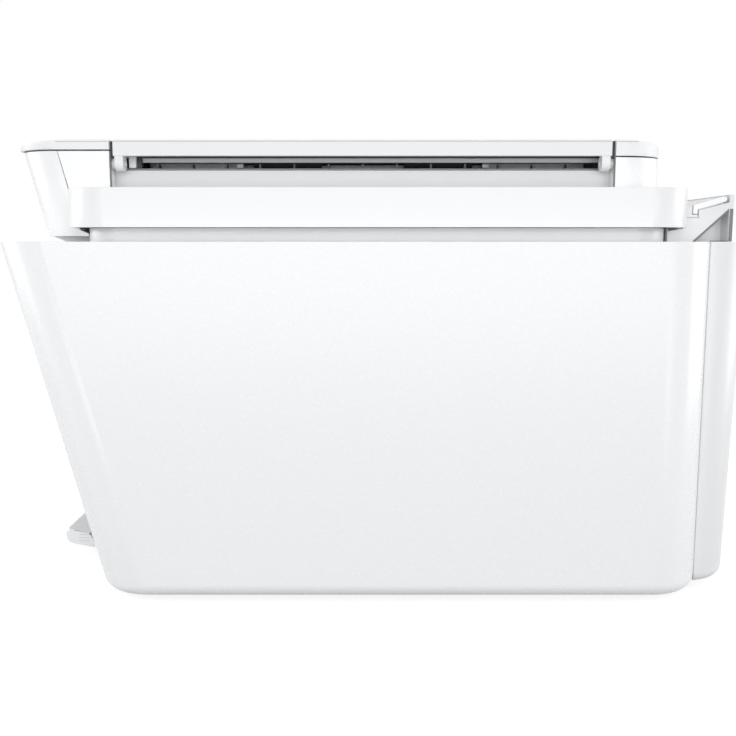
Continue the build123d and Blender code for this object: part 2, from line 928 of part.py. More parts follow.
# Glass bezel and the flatbed glass set flush in it
bezel_right = half_scanner - feed_roller_inset - adf_roller_radius - roller_play - bezel_roller_gap
with BuildPart() as glass_bezel:
    add(
        block(
            (-half_scanner + wall + panel_gap, bezel_right),
            (inner_front + panel_gap, scanner_rear_y - wall - panel_gap),
            (bezel_bottom - bezel_ledge, bezel_top),
        )
    )
    rear_left = [e for e in upright_edges(glass_bezel, glass_rear, rear_face_y) if e.center().X < 0]
    fillet(rear_left, scanner_radius - wall)
    add(
        block(
            (glass_left - running_gap, glass_right + running_gap),
            (glass_front - running_gap, glass_rear + running_gap),
            (bezel_bottom, bezel_top),
        ),
        mode=Mode.SUBTRACT,
    )
    add(
        block(
            (glass_left + glass_ledge, glass_right - glass_ledge),
            (glass_front + glass_ledge, glass_rear - glass_ledge),
            (bezel_bottom - glass_thickness, bezel_top),
        ),
        mode=Mode.SUBTRACT,
    )

with BuildPart() as scanner_glass:
    glass_z = (bezel_bottom, bezel_bottom + glass_thickness)
    add(block((glass_left, glass_right), (glass_front, glass_rear), glass_z))

# Document guide: the ribbed entry plate, with the idler roller's bearings under it
adf_x = half_scanner - feed_roller_inset
nip_z = guide_top - paper_gap / 4
idler_z = nip_z - adf_idler_radius
roller_window = adf_roller_radius + roller_play
window_y = (notch_middle - roller_half_length - roller_play, notch_middle + roller_half_length + roller_play)
bearing_x = (adf_x - bearing_half, adf_x + bearing_half)
bearing_start = roller_half_length + roller_end_gap
bearing_reach = bearing_start + bearing_length
bearing_ys = [
    (notch_middle - bearing_reach, notch_middle - bearing_start),
    (notch_middle + bearing_start, notch_middle + bearing_reach),
]
bearing_bore_y = (notch_middle - bearing_reach - wall, notch_middle + bearing_reach + wall)
guide_start = adf_x + roller_window + rib_setback
with BuildPart() as document_guide:
    guide_bottom = guide_top - wall - running_gap
    guide_right = recess_wall - panel_gap
    guide_y = (notch_front_y + wall, notch_rear_y - wall)
    add(block((bezel_right + panel_gap, guide_right), guide_y, (guide_bottom, guide_top)))
    for number in range(rib_count):
        rib_y = notch_middle + (number - (rib_count - 1) / 2) * rib_pitch
        rib_span = (rib_y - rib_thickness / 2, rib_y + rib_thickness / 2)
        add(block((guide_start, guide_right), rib_span, (guide_top, guide_top + rib_height)))
    window_x = (adf_x - roller_window + panel_gap, adf_x + roller_window)
    add(block(window_x, window_y, (guide_bottom, top_z)), mode=Mode.SUBTRACT)
    for bearing in bearing_ys:
        add(block(bearing_x, bearing, (idler_z - bearing_half, guide_bottom)))
    add(rod_y(adf_x, bearing_bore_y, idler_z, shaft_radius + shaft_clearance), mode=Mode.SUBTRACT)


def soft_roller_y(x, z, radius):
    """A shaft along the depth with two rubber sleeves."""
    with BuildPart() as roller:
        add(rod_y(x, (notch_middle - bearing_reach, notch_middle + bearing_reach), z, shaft_radius))
        for side in (-1, 1):
            near_end = notch_middle + side * sleeve_start
            far_end = notch_middle + side * (roller_half_length - wall)
            add(rod_y(x, sorted((near_end, far_end)), z, radius))
    return roller.part


with BuildPart() as adf_idler_roller:
    add(soft_roller_y(adf_x, idler_z, adf_idler_radius))

feed_z = nip_z + paper_gap + adf_roller_radius
with BuildPart() as adf_feed_roller:
    add(soft_roller_y(adf_x, feed_z, adf_roller_radius))

# Scan rail, scan bar and the bar's height under the glass
bar_top = bezel_bottom - bezel_ledge - running_gap
bar_bottom = bar_top - bar_height
bar_x = glass_right - bar_width / 2 + bar_overhang
bar_travel = glass_right - glass_left - bar_width + 2 * bar_overhang
bar_span = (bar_x - bar_width / 2, bar_x + bar_width / 2)
rail_shoe_half = rail_support_half - wall / 2
with BuildPart() as scan_rail:
    rail_run = (2 * wall - half_scanner, recess_wall - 3 * wall)
    add(rod_x(rail_run, scan_rail_y, rail_height, scan_rail_radius))

with BuildPart() as scan_carriage:
    add(block(bar_span, (glass_front + bar_overhang, glass_rear - bar_overhang), (bar_bottom, bar_top)))
    shoe_y = (scan_rail_y - rail_shoe_half, scan_rail_y + rail_shoe_half)
    add(block(bar_span, shoe_y, (rail_height - shoe_drop, bar_bottom)))
    rail_bore = (bar_x - bar_width, bar_x + bar_width)
    add(rod_x(rail_bore, scan_rail_y, rail_height, scan_rail_radius + shaft_clearance), mode=Mode.SUBTRACT)
    lens = block(
        (bar_x - lens_width / 2, bar_x + lens_width / 2),
        (glass_front + bar_width / 2, glass_rear - bar_width / 2),
        (bar_top - lens_depth, bar_top),
    )
    add(lens, mode=Mode.SUBTRACT)

# Lid: the crowned cover, recessed for the flap, with ears for the flap's pivots
lid_left = deck_width - half_scanner + lid_side_gap
flap_x = half_scanner - flap_reach
flap_under = top_z - flap_thickness
pivot_x = half_scanner - flap_pivot_inset
pivot_z = band_top + flap_pivot_rise
lid_floor = top_bottom + lid_skirt
hinge_y = rear_face_y - hinge_setback
hinge_z = top_z - hinge_knuckle_radius - hinge_drop
lid_middle = (lid_left + half_scanner) / 2
hinge_xs = (lid_middle - hinge_spacing / 2, lid_middle + hinge_spacing / 2)
arm_front = scanner_rear_y - lid_web_drop
front_ear = (notch_front_y + ear_inset, notch_front_y + ear_inset + ear_thickness)
rear_ear = (notch_rear_y - ear_inset - ear_thickness, notch_rear_y - ear_inset)
front_knuckle = (front_ear[1] + running_gap, front_ear[1] + running_gap + knuckle_length)
rear_knuckle = (rear_ear[0] - running_gap - knuckle_length, rear_ear[0] - running_gap)
gate_front = front_knuckle[1] + running_gap + end_block_length
with BuildPart() as lid_shell:
    add(top_form((lid_left, half_scanner)))
    lid_hollow_y = (notch_front_y + wall, scanner_rear_y - 2 * wall)
    lid_hollow_x = (lid_left + wall, recess_wall - wall / 2)
    add(block(lid_hollow_x, lid_hollow_y, (rim_top, lid_floor)), mode=Mode.SUBTRACT)
    add(block((notch_x - wall, half_scanner + wall), notch_y, (rim_top, top_z + wall)), mode=Mode.SUBTRACT)
    flap_pocket = (flap_under - running_gap, top_z + wall)
    add(block((flap_x - running_gap, half_scanner + wall), notch_y, flap_pocket), mode=Mode.SUBTRACT)
    add(block((adf_x - roller_window, adf_x + roller_window), window_y, (rim_top, top_z)), mode=Mode.SUBTRACT)
    for hinge_x in hinge_xs:
        notch_half = hinge_width / 2 + hinge_ear + hinge_play
        hinge_notch = (hinge_x - notch_half, hinge_x + notch_half)
        add(block(hinge_notch, (arm_front, rear_face_y), (rim_top, top_z + wall)), mode=Mode.SUBTRACT)
    for bearing in bearing_ys:
        add(block(bearing_x, bearing, (feed_z - bearing_drop, lid_floor)))
    add(rod_y(adf_x, bearing_bore_y, feed_z, shaft_radius + shaft_clearance), mode=Mode.SUBTRACT)
    for ear in (front_ear, rear_ear):
        ear_outline = [
            (notch_x - 2 * ear_radius, lid_floor),
            (notch_x - 2 * ear_radius, flap_under - 2 * running_gap),
            (pivot_x - 2 * ear_radius, flap_under - 2 * running_gap),
            (pivot_x + running_gap, pivot_z + ear_radius),
            (pivot_x + ear_radius, pivot_z),
            (pivot_x, pivot_z - ear_radius),
            (pivot_x - ear_radius, pivot_z),
        ]
        add(profile(ear_outline, ear))
    add(rod_y(pivot_x, (front_ear[0], front_knuckle[1] - 2 * running_gap), pivot_z, pin_radius))
    add(rod_y(pivot_x, (rear_knuckle[0] + 2 * running_gap, rear_ear[1]), pivot_z, pin_radius))
    end_block = block(
        (notch_x - end_block_depth, notch_x),
        (gate_front - end_block_length, gate_front),
        (guide_top + panel_gap, flap_under - 2 * running_gap),
    )
    add(end_block)

# Lid backing: the white pad that presses a page on the glass
with BuildPart() as lid_backing:
    add(
        rounded(
            (glass_left + backing_inset, glass_right - backing_inset),
            (glass_front + backing_inset, glass_rear - backing_inset),
            (guide_top + panel_gap, lid_floor),
            backing_radius,
        )
    )

# Document gate: the upper guide over the entry, under the lid's edge
gate_right = recess_wall - gate_inset
with BuildPart() as document_gate:
    gate_y = (gate_front, notch_rear_y - gate_end_gap)
    add(block((gate_right - gate_depth, gate_right), gate_y, (guide_top + gate_gap, lid_floor)))

# Lid hinge arms, brackets and pins
arm_half = hinge_arm_thickness / 2
with BuildPart() as lid_hinge_arms:
    for hinge_x in hinge_xs:
        arm_x = (hinge_x - hinge_width / 2, hinge_x + hinge_width / 2)
        add(block(arm_x, (arm_front, hinge_y), (hinge_z - arm_half, hinge_z + arm_half)))
        add(rod_x(arm_x, hinge_y, hinge_z, hinge_knuckle_radius))
        add(rod_x(arm_x, hinge_y, hinge_z, hinge_pin_radius + pin_clearance), mode=Mode.SUBTRACT)

bracket_low = band_top + bracket_rise
bracket_half = hinge_width / 2 + hinge_ear + hinge_side_gap
bracket_high = hinge_z + hinge_knuckle_radius - arm_half
bracket_front = hinge_y - hinge_knuckle_radius + hinge_side_gap
with BuildPart() as lid_hinge_brackets:
    for hinge_x in hinge_xs:
        plate_x = (hinge_x - bracket_half, hinge_x + bracket_half)
        plate_y = (scanner_rear_y, scanner_rear_y + bracket_thickness)
        add(block(plate_x, plate_y, (bracket_low, rim_top - bracket_thickness)))
        for side in (-1, 1):
            ear_x = sorted((hinge_x + side * (bracket_half - hinge_ear), hinge_x + side * bracket_half))
            ear_outline = [
                (scanner_rear_y, bracket_low),
                (scanner_rear_y + bracket_foot, bracket_low),
                (hinge_y + hinge_knuckle_radius, hinge_z - arm_half),
                (hinge_y + hinge_knuckle_radius, bracket_high),
                (bracket_front, bracket_high),
                (bracket_front, rim_top),
                (scanner_rear_y, rim_top),
            ]
            add(prism(ear_outline, ear_x))
        add(rod_x(plate_x, hinge_y, hinge_z, hinge_pin_radius + pin_clearance), mode=Mode.SUBTRACT)

with BuildPart() as lid_hinge_pins:
    for hinge_x in hinge_xs:
        add(rod_x((hinge_x - bracket_half, hinge_x + bracket_half), hinge_y, hinge_z, hinge_pin_radius))

# Document flap: the outer edge strip and its top plate, which opens into a tray
with BuildPart() as document_flap:
    flap_y = (notch_front_y + flap_gap, notch_rear_y - flap_gap)
    flap_outline = [
        (flap_x, flap_under),
        (half_scanner - flap_thickness, flap_under),
        (half_scanner - flap_thickness, top_bottom),
        (half_scanner, top_bottom),
        (half_scanner, top_z),
        (flap_x, top_z),
    ]
    add(profile(flap_outline, flap_y))
    outer_edge = document_flap.edges().filter_by(Axis.Y).group_by(Axis.Z)[-1].sort_by(Axis.X)[-1]
    fillet(outer_edge, flap_edge_radius)
    for knuckle in (front_knuckle, rear_knuckle):
        add(block((pivot_x + pin_radius, pivot_x + knuckle_radius), knuckle, (pivot_z, top_bottom)))
        add(rod_y(pivot_x, knuckle, pivot_z, knuckle_radius))
        add(rod_y(pivot_x, knuckle, pivot_z, pin_radius + pin_clearance), mode=Mode.SUBTRACT)

# Control deck: the fixed strip left of the lid, with the keys and display
deck_x = (-half_scanner, deck_width - half_scanner)
key_x = deck_width / 2 - half_scanner
key_field = top_z - key_recess
skin_bottom = top_z - wall
deck_floor = top_bottom + deck_skin
start_place = notch_rear_y - key_rear_margin
stop_place = start_place - key_pitch
right_place = stop_place - key_group_gap
left_place = right_place - key_pitch
window_middle = left_place - key_group_gap / 2 - window_length / 2
power_place = notch_front_y + power_margin
key_places = [power_place, left_place, right_place, stop_place, start_place]
field_x = (key_x - field_width / 2, key_x + field_width / 2)
window_x = (key_x - window_width / 2, key_x + window_width / 2)
window_y_span = (window_middle - window_length / 2, window_middle + window_length / 2)
window_floor = key_field - window_recess
with BuildPart() as control_deck:
    add(top_form(deck_x))
    deck_hollow_y = (notch_front_y - 2 * wall, notch_rear_y + wall)
    deck_hollow = block((wall - half_scanner, deck_x[1] + wall), deck_hollow_y, (deck_floor, skin_bottom))
    add(deck_hollow, mode=Mode.SUBTRACT)
    field_y = (power_place - power_margin, start_place + power_margin)
    add(block(field_x, field_y, (key_field, top_z + wall)), mode=Mode.SUBTRACT)
    with BuildSketch(Plane.XY.offset(skin_bottom - key_gap)):
        with Locations(*[(key_x, place) for place in key_places]):
            Circle(key_radius + key_gap)
    extrude(amount=2 * wall, mode=Mode.SUBTRACT)
    add(block(window_x, window_y_span, (window_floor, top_z)), mode=Mode.SUBTRACT)

with BuildPart() as display_window:
    window_z = (window_floor, key_field + window_recess / 2)
    add(rounded(window_x, window_y_span, window_z, window_radius))


def round_key(place):
    """A round key cap with the collar that keeps it in its hole."""
    collar_low = deck_floor + key_travel + key_play
    with BuildPart() as key:
        add(rod_z(key_x, place, (collar_low, skin_bottom - key_play), key_radius + collar_width))
        add(rod_z(key_x, place, (collar_low, top_z - key_play), key_radius))
        fillet(key.faces().sort_by(Axis.Z)[-1].edges(), key_edge)
    return key.part


with BuildPart() as power_button:
    add(round_key(power_place))

with BuildPart() as left_button:
    add(round_key(left_place))

with BuildPart() as right_button:
    add(round_key(right_place))

with BuildPart() as stop_button:
    add(round_key(stop_place))

with BuildPart() as start_button:
    add(round_key(start_place))

# Output tray: a sliding plate with a turned-up rounded lip and ears for the catch
tray_front_y = front_tip_y + tray_front_setback
catch_y = front_tip_y + catch_axis_setback
catch_z = catch_axis_height
tray_low = floor_top + tray_gap
lip_low = foot_height + lip_lift
lip_rear = tray_front_y + lip_depth
lip_top = catch_z - catch_thickness / 2 - running_gap
nose_middle = (lip_low + lip_top) / 2 + nose_rise
catch_half = half_tray - catch_ear
with BuildPart() as output_tray:
    add(block((-half_tray, half_tray), (lip_rear, tray_rear), (tray_low, tray_low + tray_thickness)))
    for side in (-1, 1):
        edge_x = sorted((side * half_tray, side * (half_tray - wall)))
        add(block(edge_x, (lip_rear, tray_rear), (tray_low, tray_wall_top - tray_gap)))
    with BuildSketch(Plane.YZ.offset(-half_tray)):
        with BuildLine():
            Line((lip_rear, lip_low), (tray_front_y + lip_curve, lip_low + lip_slope))
            Bezier(
                (tray_front_y + lip_curve, lip_low + lip_slope),
                (tray_front_y, lip_low + lip_chin),
                (tray_front_y, nose_middle),
            )
            Bezier((tray_front_y, nose_middle), (tray_front_y, lip_top), (tray_front_y + lip_round, lip_top))
            Line((tray_front_y + lip_round, lip_top), (catch_y + lip_round, lip_top))
            Line((catch_y + lip_round, lip_top), (lip_rear - wall, lip_top - lip_fall))
            Line((lip_rear - wall, lip_top - lip_fall), (lip_rear, tray_wall_top - tray_gap))
            Line((lip_rear, tray_wall_top - tray_gap), (lip_rear, lip_low))
        make_face()
    extrude(amount=2 * half_tray)
    add(block((-half_tray, half_tray), (lip_rear, body_front(0) - wall / 2), (lip_low, tray_low)))
    for side in (-1, 1):
        ear_x = sorted((side * (catch_half + running_gap), side * half_tray))
        add(rod_x(ear_x, catch_y, catch_z, catch_thickness / 2))
        ear_y = (catch_y - catch_thickness / 2, catch_y + catch_thickness / 2)
        add(block(ear_x, ear_y, (lip_top - wall, catch_z)))
        pin_x = sorted((side * (catch_half - catch_ear), side * half_tray))
        add(rod_x(pin_x, catch_y, catch_z, catch_pin_radius))

# Output catch: the grey flap that leans on the front panel and swings forward
with BuildPart() as output_catch:
    rise = sin(radians(catch_lean))
    run = cos(radians(catch_lean))
    half_thick = catch_thickness / 2
    plate_outline = [
        (catch_y - half_thick * rise, catch_z + half_thick * run),
        (catch_y + half_thick * rise, catch_z - half_thick * run),
        (catch_y + half_thick * rise + catch_length * run, catch_z - half_thick * run + catch_length * rise),
        (catch_y - half_thick * rise + catch_length * run, catch_z + half_thick * run + catch_length * rise),
    ]
    add(prism(plate_outline, (-catch_half, catch_half)))
    add(rod_x((-catch_half, catch_half), catch_y, catch_z, half_thick))
    for side in (-1, 1):
        web_x = sorted((side * catch_half, side * (catch_half - wall)))
        web = [
            (catch_y + half_thick, catch_z - half_thick / 2),
            (lip_rear - wall, lip_top - lip_fall + panel_gap),
            (lip_rear, lip_top),
            (catch_y + catch_length / 2 * run, catch_z + catch_length / 2 * rise),
        ]
        add(prism(web, web_x))
    pin_bore = catch_pin_radius + pin_clearance
    add(rod_x((-half_tray, half_tray), catch_y, catch_z, pin_bore), mode=Mode.SUBTRACT)

# Paper hopper: rear wall, gusseted sides, side pockets and the sloping chute
tilt_cos = cos(radians(feed_tilt))
tilt_sin = sin(radians(feed_tilt))
chute_y = rear_face_y - chute_setback
chute_top = body_top + chute_rise
feed_plane = Plane(origin=(0, chute_y, chute_top), x_dir=(1, 0, 0), z_dir=(0, -tilt_cos, tilt_sin))


def on_feed(x, along, out):
    """A block on the feed plane: across, up along the tilt, and out to the front."""
    middle = ((x[0] + x[1]) / 2, (along[0] + along[1]) / 2)
    with BuildPart() as solid:
        with BuildSketch(feed_plane.offset(out[0])):
            with Locations(middle):
                Rectangle(x[1] - x[0], along[1] - along[0])
        extrude(amount=out[1] - out[0])
    return solid.part


slope_tan = tan(radians(cover_slope))
cover_front_y = rear_face_y - cover_front_setback
cover_axis_y = rear_face_y - cover_axis_setback
cover_low_z = band_top - cover_drop
cover_skin = cover_thickness / cos(radians(cover_slope))


def cover_z(y):
    """Height of the feed slot cover's upper face."""
    return cover_low_z + (y - cover_front_y) * slope_tan


cover_axis_z = cover_z(cover_axis_y) - cover_skin / 2
hopper_top = body_top + hopper_rise
gusset_front = neck_rear_y + gusset_gap
gusset_seat = hopper_front_face + hopper_wall / 2
shelf_y = cover_front_y + wall
pocket_corner = hopper_front_face - hopper_wall
shelf_top = band_top - shelf_drop
pad_half = pad_width / 2
pad_span = (pad_margin - chute_length, pad_margin + pad_length - chute_length)
with BuildPart() as hopper:
    add(block((-half_hopper, half_hopper), (hopper_front_face, hopper_rear_y), (body_top, hopper_top)))
    gusset = [
        (gusset_front, body_top),
        (cover_front_y, body_top),
        (hopper_front_face, body_top + gusset_rise),
        (gusset_seat, body_top + gusset_rise),
        (gusset_seat, cover_z(hopper_front_face) - cover_skin - cover_gap),
        (shelf_y, cover_z(shelf_y) - cover_skin - cover_gap),
        (shelf_y, shelf_top),
        (band_rear_y + panel_gap, shelf_top),
        (band_rear_y + panel_gap, neck_top - panel_gap),
        (gusset_front, neck_top - panel_gap),
    ]
    pocket = [
        (band_rear_y + hopper_wall, body_top),
        (gusset_seat, body_top),
        (gusset_seat, body_top + gusset_rise),
        (pocket_corner, cover_z(pocket_corner) - cover_skin - 2 * cover_gap),
        (shelf_y, cover_z(shelf_y) - cover_skin - 2 * cover_gap),
        (shelf_y, shelf_top),
        (band_rear_y + hopper_wall, shelf_top - hopper_wall),
    ]
    chute_out = (-chute_thickness, 0)
    step = -chute_step
    for side in (-1, 1):
        add(prism(gusset, sorted((side * half_hopper, side * (half_hopper - side_wall)))))
        add(prism(pocket, sorted((side * pocket_x, side * (pocket_x - hopper_wall)))))
        tie_x = sorted((side * (half_hopper - hopper_wall / 2), side * (pocket_x - hopper_wall / 2)))
        add(on_feed(tie_x, (step + hopper_wall, -hopper_wall), chute_out))
    add(on_feed((hopper_wall / 2 - pocket_x, pocket_x - hopper_wall / 2), (step, -chute_end), chute_out))
    add(on_feed((-chute_width / 2, chute_width / 2), (-chute_length, step), chute_out))
    pad_seat_x = (-pad_half - pad_play, pad_half + pad_play)
    pad_seat = (pad_span[0] - pad_play, pad_span[1] + pad_play)
    add(on_feed(pad_seat_x, pad_seat, (-pad_depth, pad_play)), mode=Mode.SUBTRACT)

with BuildPart() as separation_pad:
    add(on_feed((-pad_half, pad_half), pad_span, (-pad_depth, 0)))

# Paper support and its extension, which telescope up behind the chute
support_out = (-chute_thickness - slide_gap - support_thickness, -chute_thickness - slide_gap)
extension_low = support_out[0] + shaft_clearance
extension_out = (extension_low, extension_low + extension_thickness)
with BuildPart() as paper_support:
    add(on_feed((-support_width / 2, support_width / 2), (-support_length, 0), support_out))
    pocket_half = extension_width / 2 + running_gap
    pocket_along = (-extension_length - support_stop, slide_gap)
    pocket_out = (support_out[0] - slide_gap, extension_out[1] + pad_play)
    add(on_feed((-pocket_half, pocket_half), pocket_along, pocket_out), mode=Mode.SUBTRACT)

axis_dy = cover_axis_y - chute_y
axis_dz = cover_axis_z - chute_top
axis_along = axis_dy * tilt_sin + axis_dz * tilt_cos
axis_out = axis_dz * tilt_sin - axis_dy * tilt_cos
arm_xs = (-cover_arm_spread / 2, cover_arm_spread / 2)
cover_arm_half = cover_arm_width / 2
with BuildPart() as support_extension:
    add(on_feed((-extension_width / 2, extension_width / 2), (-extension_length, -pad_play), extension_out))
    for arm_x in arm_xs:
        across = (arm_x - cover_arm_half, arm_x + cover_arm_half)
        arm_out = (axis_out - cover_arm_radius, extension_out[1] - running_gap)
        add(on_feed(across, (-cover_arm_root, axis_along), arm_out))
        add(rod_x(across, cover_axis_y, cover_axis_z, cover_arm_radius))
        pin_x = (across[0] - cover_pin_reach, across[1] + cover_pin_reach)
        add(rod_x(pin_x, cover_axis_y, cover_axis_z, cover_pin_radius))

# Feed slot cover: the sloping flap over the slot, with a turned-down front edge
with BuildPart() as feed_slot_cover:
    low = cover_front_y
    cover_outline = [
        (low, cover_z(low)),
        (low, cover_z(low) - cover_tip),
        (low + hopper_wall, cover_z(low) - cover_tip),
        (low + hopper_wall, cover_z(low + hopper_wall) - cover_skin),
        (cover_axis_y, cover_z(cover_axis_y) - cover_skin),
        (cover_axis_y, cover_z(cover_axis_y)),
    ]
    add(prism(cover_outline, (-half_hopper, half_hopper)))
    add(rod_x((-half_hopper, half_hopper), cover_axis_y, cover_axis_z, cover_thickness / 2))
    for arm_x in arm_xs:
        notch = (arm_x - cover_arm_half - cover_gap, arm_x + cover_arm_half + cover_gap)
        notch_start = cover_axis_y - cover_arm_root - cover_gap
        add(block(notch, (notch_start, rear_face_y), (body_top, top_z)), mode=Mode.SUBTRACT)
        bore_x = (notch[0] - cover_pin_reach, notch[1] + cover_pin_reach)
        add(rod_x(bore_x, cover_axis_y, cover_axis_z, cover_pin_radius + pin_clearance), mode=Mode.SUBTRACT)


def paper_guide(side):
    """A fence that slides along the chute to a sheet's edge."""
    edge = side * (sheet_width / 2 + slide_gap)
    outer = edge + side * fence_thickness
    with BuildPart() as guide:
        add(on_feed(sorted((edge, outer)), (fence_low, fence_high), (running_gap, fence_height)))
        foot_x = sorted((edge - side * fence_foot, outer))
        add(on_feed(foot_x, (fence_low, fence_low + fence_foot_length), (running_gap, fence_thickness)))
    return guide.part


with BuildPart() as right_paper_guide:
    add(paper_guide(1))

with BuildPart() as left_paper_guide:
    add(paper_guide(-1))

# Print mechanism chassis: side plates, beams, motor shelf, gear studs and board posts
plate_out = half_centre - chassis_margin
plate_in = plate_out - plate_thickness
pickup_y = chute_y - pickup_depth * tilt_sin - (pickup_radius + paper_gap) * tilt_cos
pickup_z = chute_top - pickup_depth * tilt_cos + (pickup_radius + paper_gap) * tilt_sin
output_z = feed_roller_z + output_lift
pinch_z = feed_roller_z + feed_roller_radius + paper_gap + pinch_radius


def idler_between(first, second, first_radius, second_radius):
    """Radius and centre of the idler that fills the space between two gears."""
    span = hypot(second[0] - first[0], second[1] - first[1])
    radius = (span - first_radius - second_radius - 2 * gear_gap) / 2
    share = (first_radius + gear_gap + radius) / span
    return radius, first[0] + (second[0] - first[0]) * share, first[1] + (second[1] - first[1]) * share


feed_centre = (feed_roller_y, feed_roller_z)
output_centre = (output_roller_y, output_z)
pickup_centre = (pickup_y, pickup_z)
front_idler = idler_between(feed_centre, output_centre, feed_gear_radius, output_gear_radius)
rear_idler = idler_between(feed_centre, pickup_centre, feed_gear_radius, pickup_gear_radius)
front_idler_teeth = round(teeth_per_mm * front_idler[0])
rear_idler_teeth = round(teeth_per_mm * rear_idler[0])
pinion_reach = feed_gear_radius + gear_gap + pinion_radius
motor_y = feed_roller_y + pinion_reach * cos(radians(motor_angle))
motor_z = feed_roller_z - pinion_reach * sin(radians(motor_angle))
gear_start = plate_out + gear_offset
gear_x = (gear_start, gear_start + gear_width)
motor_x = (gear_x[1] + gear_offset, gear_x[1] + gear_offset + motor_length)
rail_y = feed_roller_y - rail_setback
belt_y = rail_y + belt_setback
beam_y = belt_y + beam_setback
shelf_z = belt_z + belt_height / 2 + 2 * running_gap
belt_end = plate_in - belt_end_margin
chassis_front = output_roller_y - chassis_front_reach
chassis_rear = body_rear_y - chassis_rear_gap
chassis_top = shelf_z + beam_rise
board_y = (chassis_front - board_overhang, chassis_rear - board_rear_gap)
board_z = (floor_top + board_lift, floor_top + board_lift + board_height)
shaft_holes = [
    (feed_centre, drive_shaft_radius),
    (output_centre, drive_shaft_radius),
    (pickup_centre, drive_shaft_radius),
    ((feed_roller_y, pinch_z), shaft_radius),
]
with BuildPart() as chassis:
    for side in (-1, 1):
        across = sorted((side * plate_in, side * plate_out))
        side_outline = [
            (chassis_front, floor_top),
            (chassis_rear, floor_top),
            (chassis_rear, shelf_z),
            (beam_y, chassis_top),
            (rail_y - rail_seat, chassis_top),
            (output_roller_y + rail_seat, output_z + chassis_front_reach),
            (chassis_front, output_z + output_gear_radius),
        ]
        add(prism(side_outline, across))
        for (centre_y, centre_z), radius in shaft_holes:
            add(rod_x(across, centre_y, centre_z, radius + shaft_clearance), mode=Mode.SUBTRACT)
    beam_span = (beam_y, beam_y + plate_thickness)
    add(block((-plate_out, plate_out), beam_span, (shelf_z - beam_depth, chassis_top)))
    low_beam = (belt_y + bearing_half, belt_y + bearing_half + plate_thickness)
    add(block((-plate_out, plate_out), low_beam, (floor_top + low_beam_lift, floor_top + beam_depth)))
    for side in (-1, 1):
        shelf_end = belt_end - carriage_motor_radius - gear_offset
        shelf_x = sorted((side * shelf_end, side * plate_out))
        add(block(shelf_x, (belt_y - shelf_front, beam_span[1]), (shelf_z, shelf_z + plate_thickness)))
    add(rod_z(belt_end, belt_y, (shelf_z - wall, shelf_z + 2 * wall), drive_shaft_radius), mode=Mode.SUBTRACT)
    add(rod_z(-belt_end, belt_y, (belt_z - belt_height / 2, shelf_z), pulley_radius))
    for centre in (front_idler, rear_idler):
        add(rod_x((plate_in, gear_x[1]), centre[1], centre[2], stud_radius))
    for post_y, post_z in ((motor_y + post_reach, motor_z), (motor_y, motor_z - post_reach)):
        add(rod_x((plate_in, motor_x[0]), post_y, post_z, post_radius))
    post_places = [
        (board_y[0] + post_inset, board_z[0] + post_inset),
        (board_y[1] - post_inset, board_z[0] + post_inset),
        (board_y[1] - post_inset, board_z[1] - post_inset),
    ]
    for post_y, post_z in post_places:
        add(rod_x((-plate_out - board_standoff, -plate_in), post_y, post_z, stud_radius))
    cross_beam = (rail_y - plate_thickness, rail_y + plate_thickness)
    add(block((-plate_out, plate_out), cross_beam, (rail_z + rail_radius + rail_headroom, chassis_top)))

# Feed, output, pinch and pickup rollers with their gears


def toothed(radius, across, centre, teeth):
    """A disc gear with shallow square teeth."""
    with BuildPart() as gear:
        with BuildSketch(Plane.YZ.offset(across[0])):
            with Locations(centre):
                Circle(radius)
                with PolarLocations(radius, teeth):
                    Rectangle(2 * tooth_depth, tooth_gap, mode=Mode.SUBTRACT)
        extrude(amount=across[1] - across[0])
    return gear.part


def drive_roller(centre, radius, sleeves, gear_radius):
    """A shaft through both side plates, with sleeves and a gear outside the right plate."""
    with BuildPart() as roller:
        add(rod_x((-plate_out - cover_gap, gear_x[1]), centre[0], centre[1], drive_shaft_radius))
        for sleeve in sleeves:
            add(rod_x(sleeve, centre[0], centre[1], radius))
        add(toothed(gear_radius, gear_x, centre, round(teeth_per_mm * gear_radius)))
    return roller.part


full_sleeve = [(sleeve_margin - plate_in, plate_in - sleeve_margin)]
sleeve_middles = [(number - (sleeve_count - 1) / 2) * sleeve_pitch for number in range(sleeve_count)]
output_sleeves = [(middle - output_sleeve / 2, middle + output_sleeve / 2) for middle in sleeve_middles]
pinch_sleeves = [(middle - pinch_sleeve / 2, middle + pinch_sleeve / 2) for middle in sleeve_middles]
pickup_sleeve = [(pad_play - pad_half, pad_half - pad_play)]
with BuildPart() as feed_roller:
    add(drive_roller(feed_centre, feed_roller_radius, full_sleeve, feed_gear_radius))

with BuildPart() as output_roller:
    add(drive_roller(output_centre, output_roller_radius, output_sleeves, output_gear_radius))

with BuildPart() as pickup_roller:
    add(drive_roller(pickup_centre, pickup_radius, pickup_sleeve, pickup_gear_radius))

with BuildPart() as pinch_rollers:
    add(rod_x((-plate_out, plate_out), feed_roller_y, pinch_z, shaft_radius))
    for sleeve in pinch_sleeves:
        add(rod_x(sleeve, feed_roller_y, pinch_z, pinch_radius))


def idler_gear(centre, teeth):
    """A gear that turns on a stud of the side plate."""
    with BuildPart() as gear:
        add(toothed(centre[0], gear_x, (centre[1], centre[2]), teeth))
        add(rod_x(gear_x, centre[1], centre[2], stud_radius + shaft_clearance), mode=Mode.SUBTRACT)
    return gear.part


with BuildPart() as front_idler_gear:
    add(idler_gear(front_idler, front_idler_teeth))

with BuildPart() as rear_idler_gear:
    add(idler_gear(rear_idler, rear_idler_teeth))

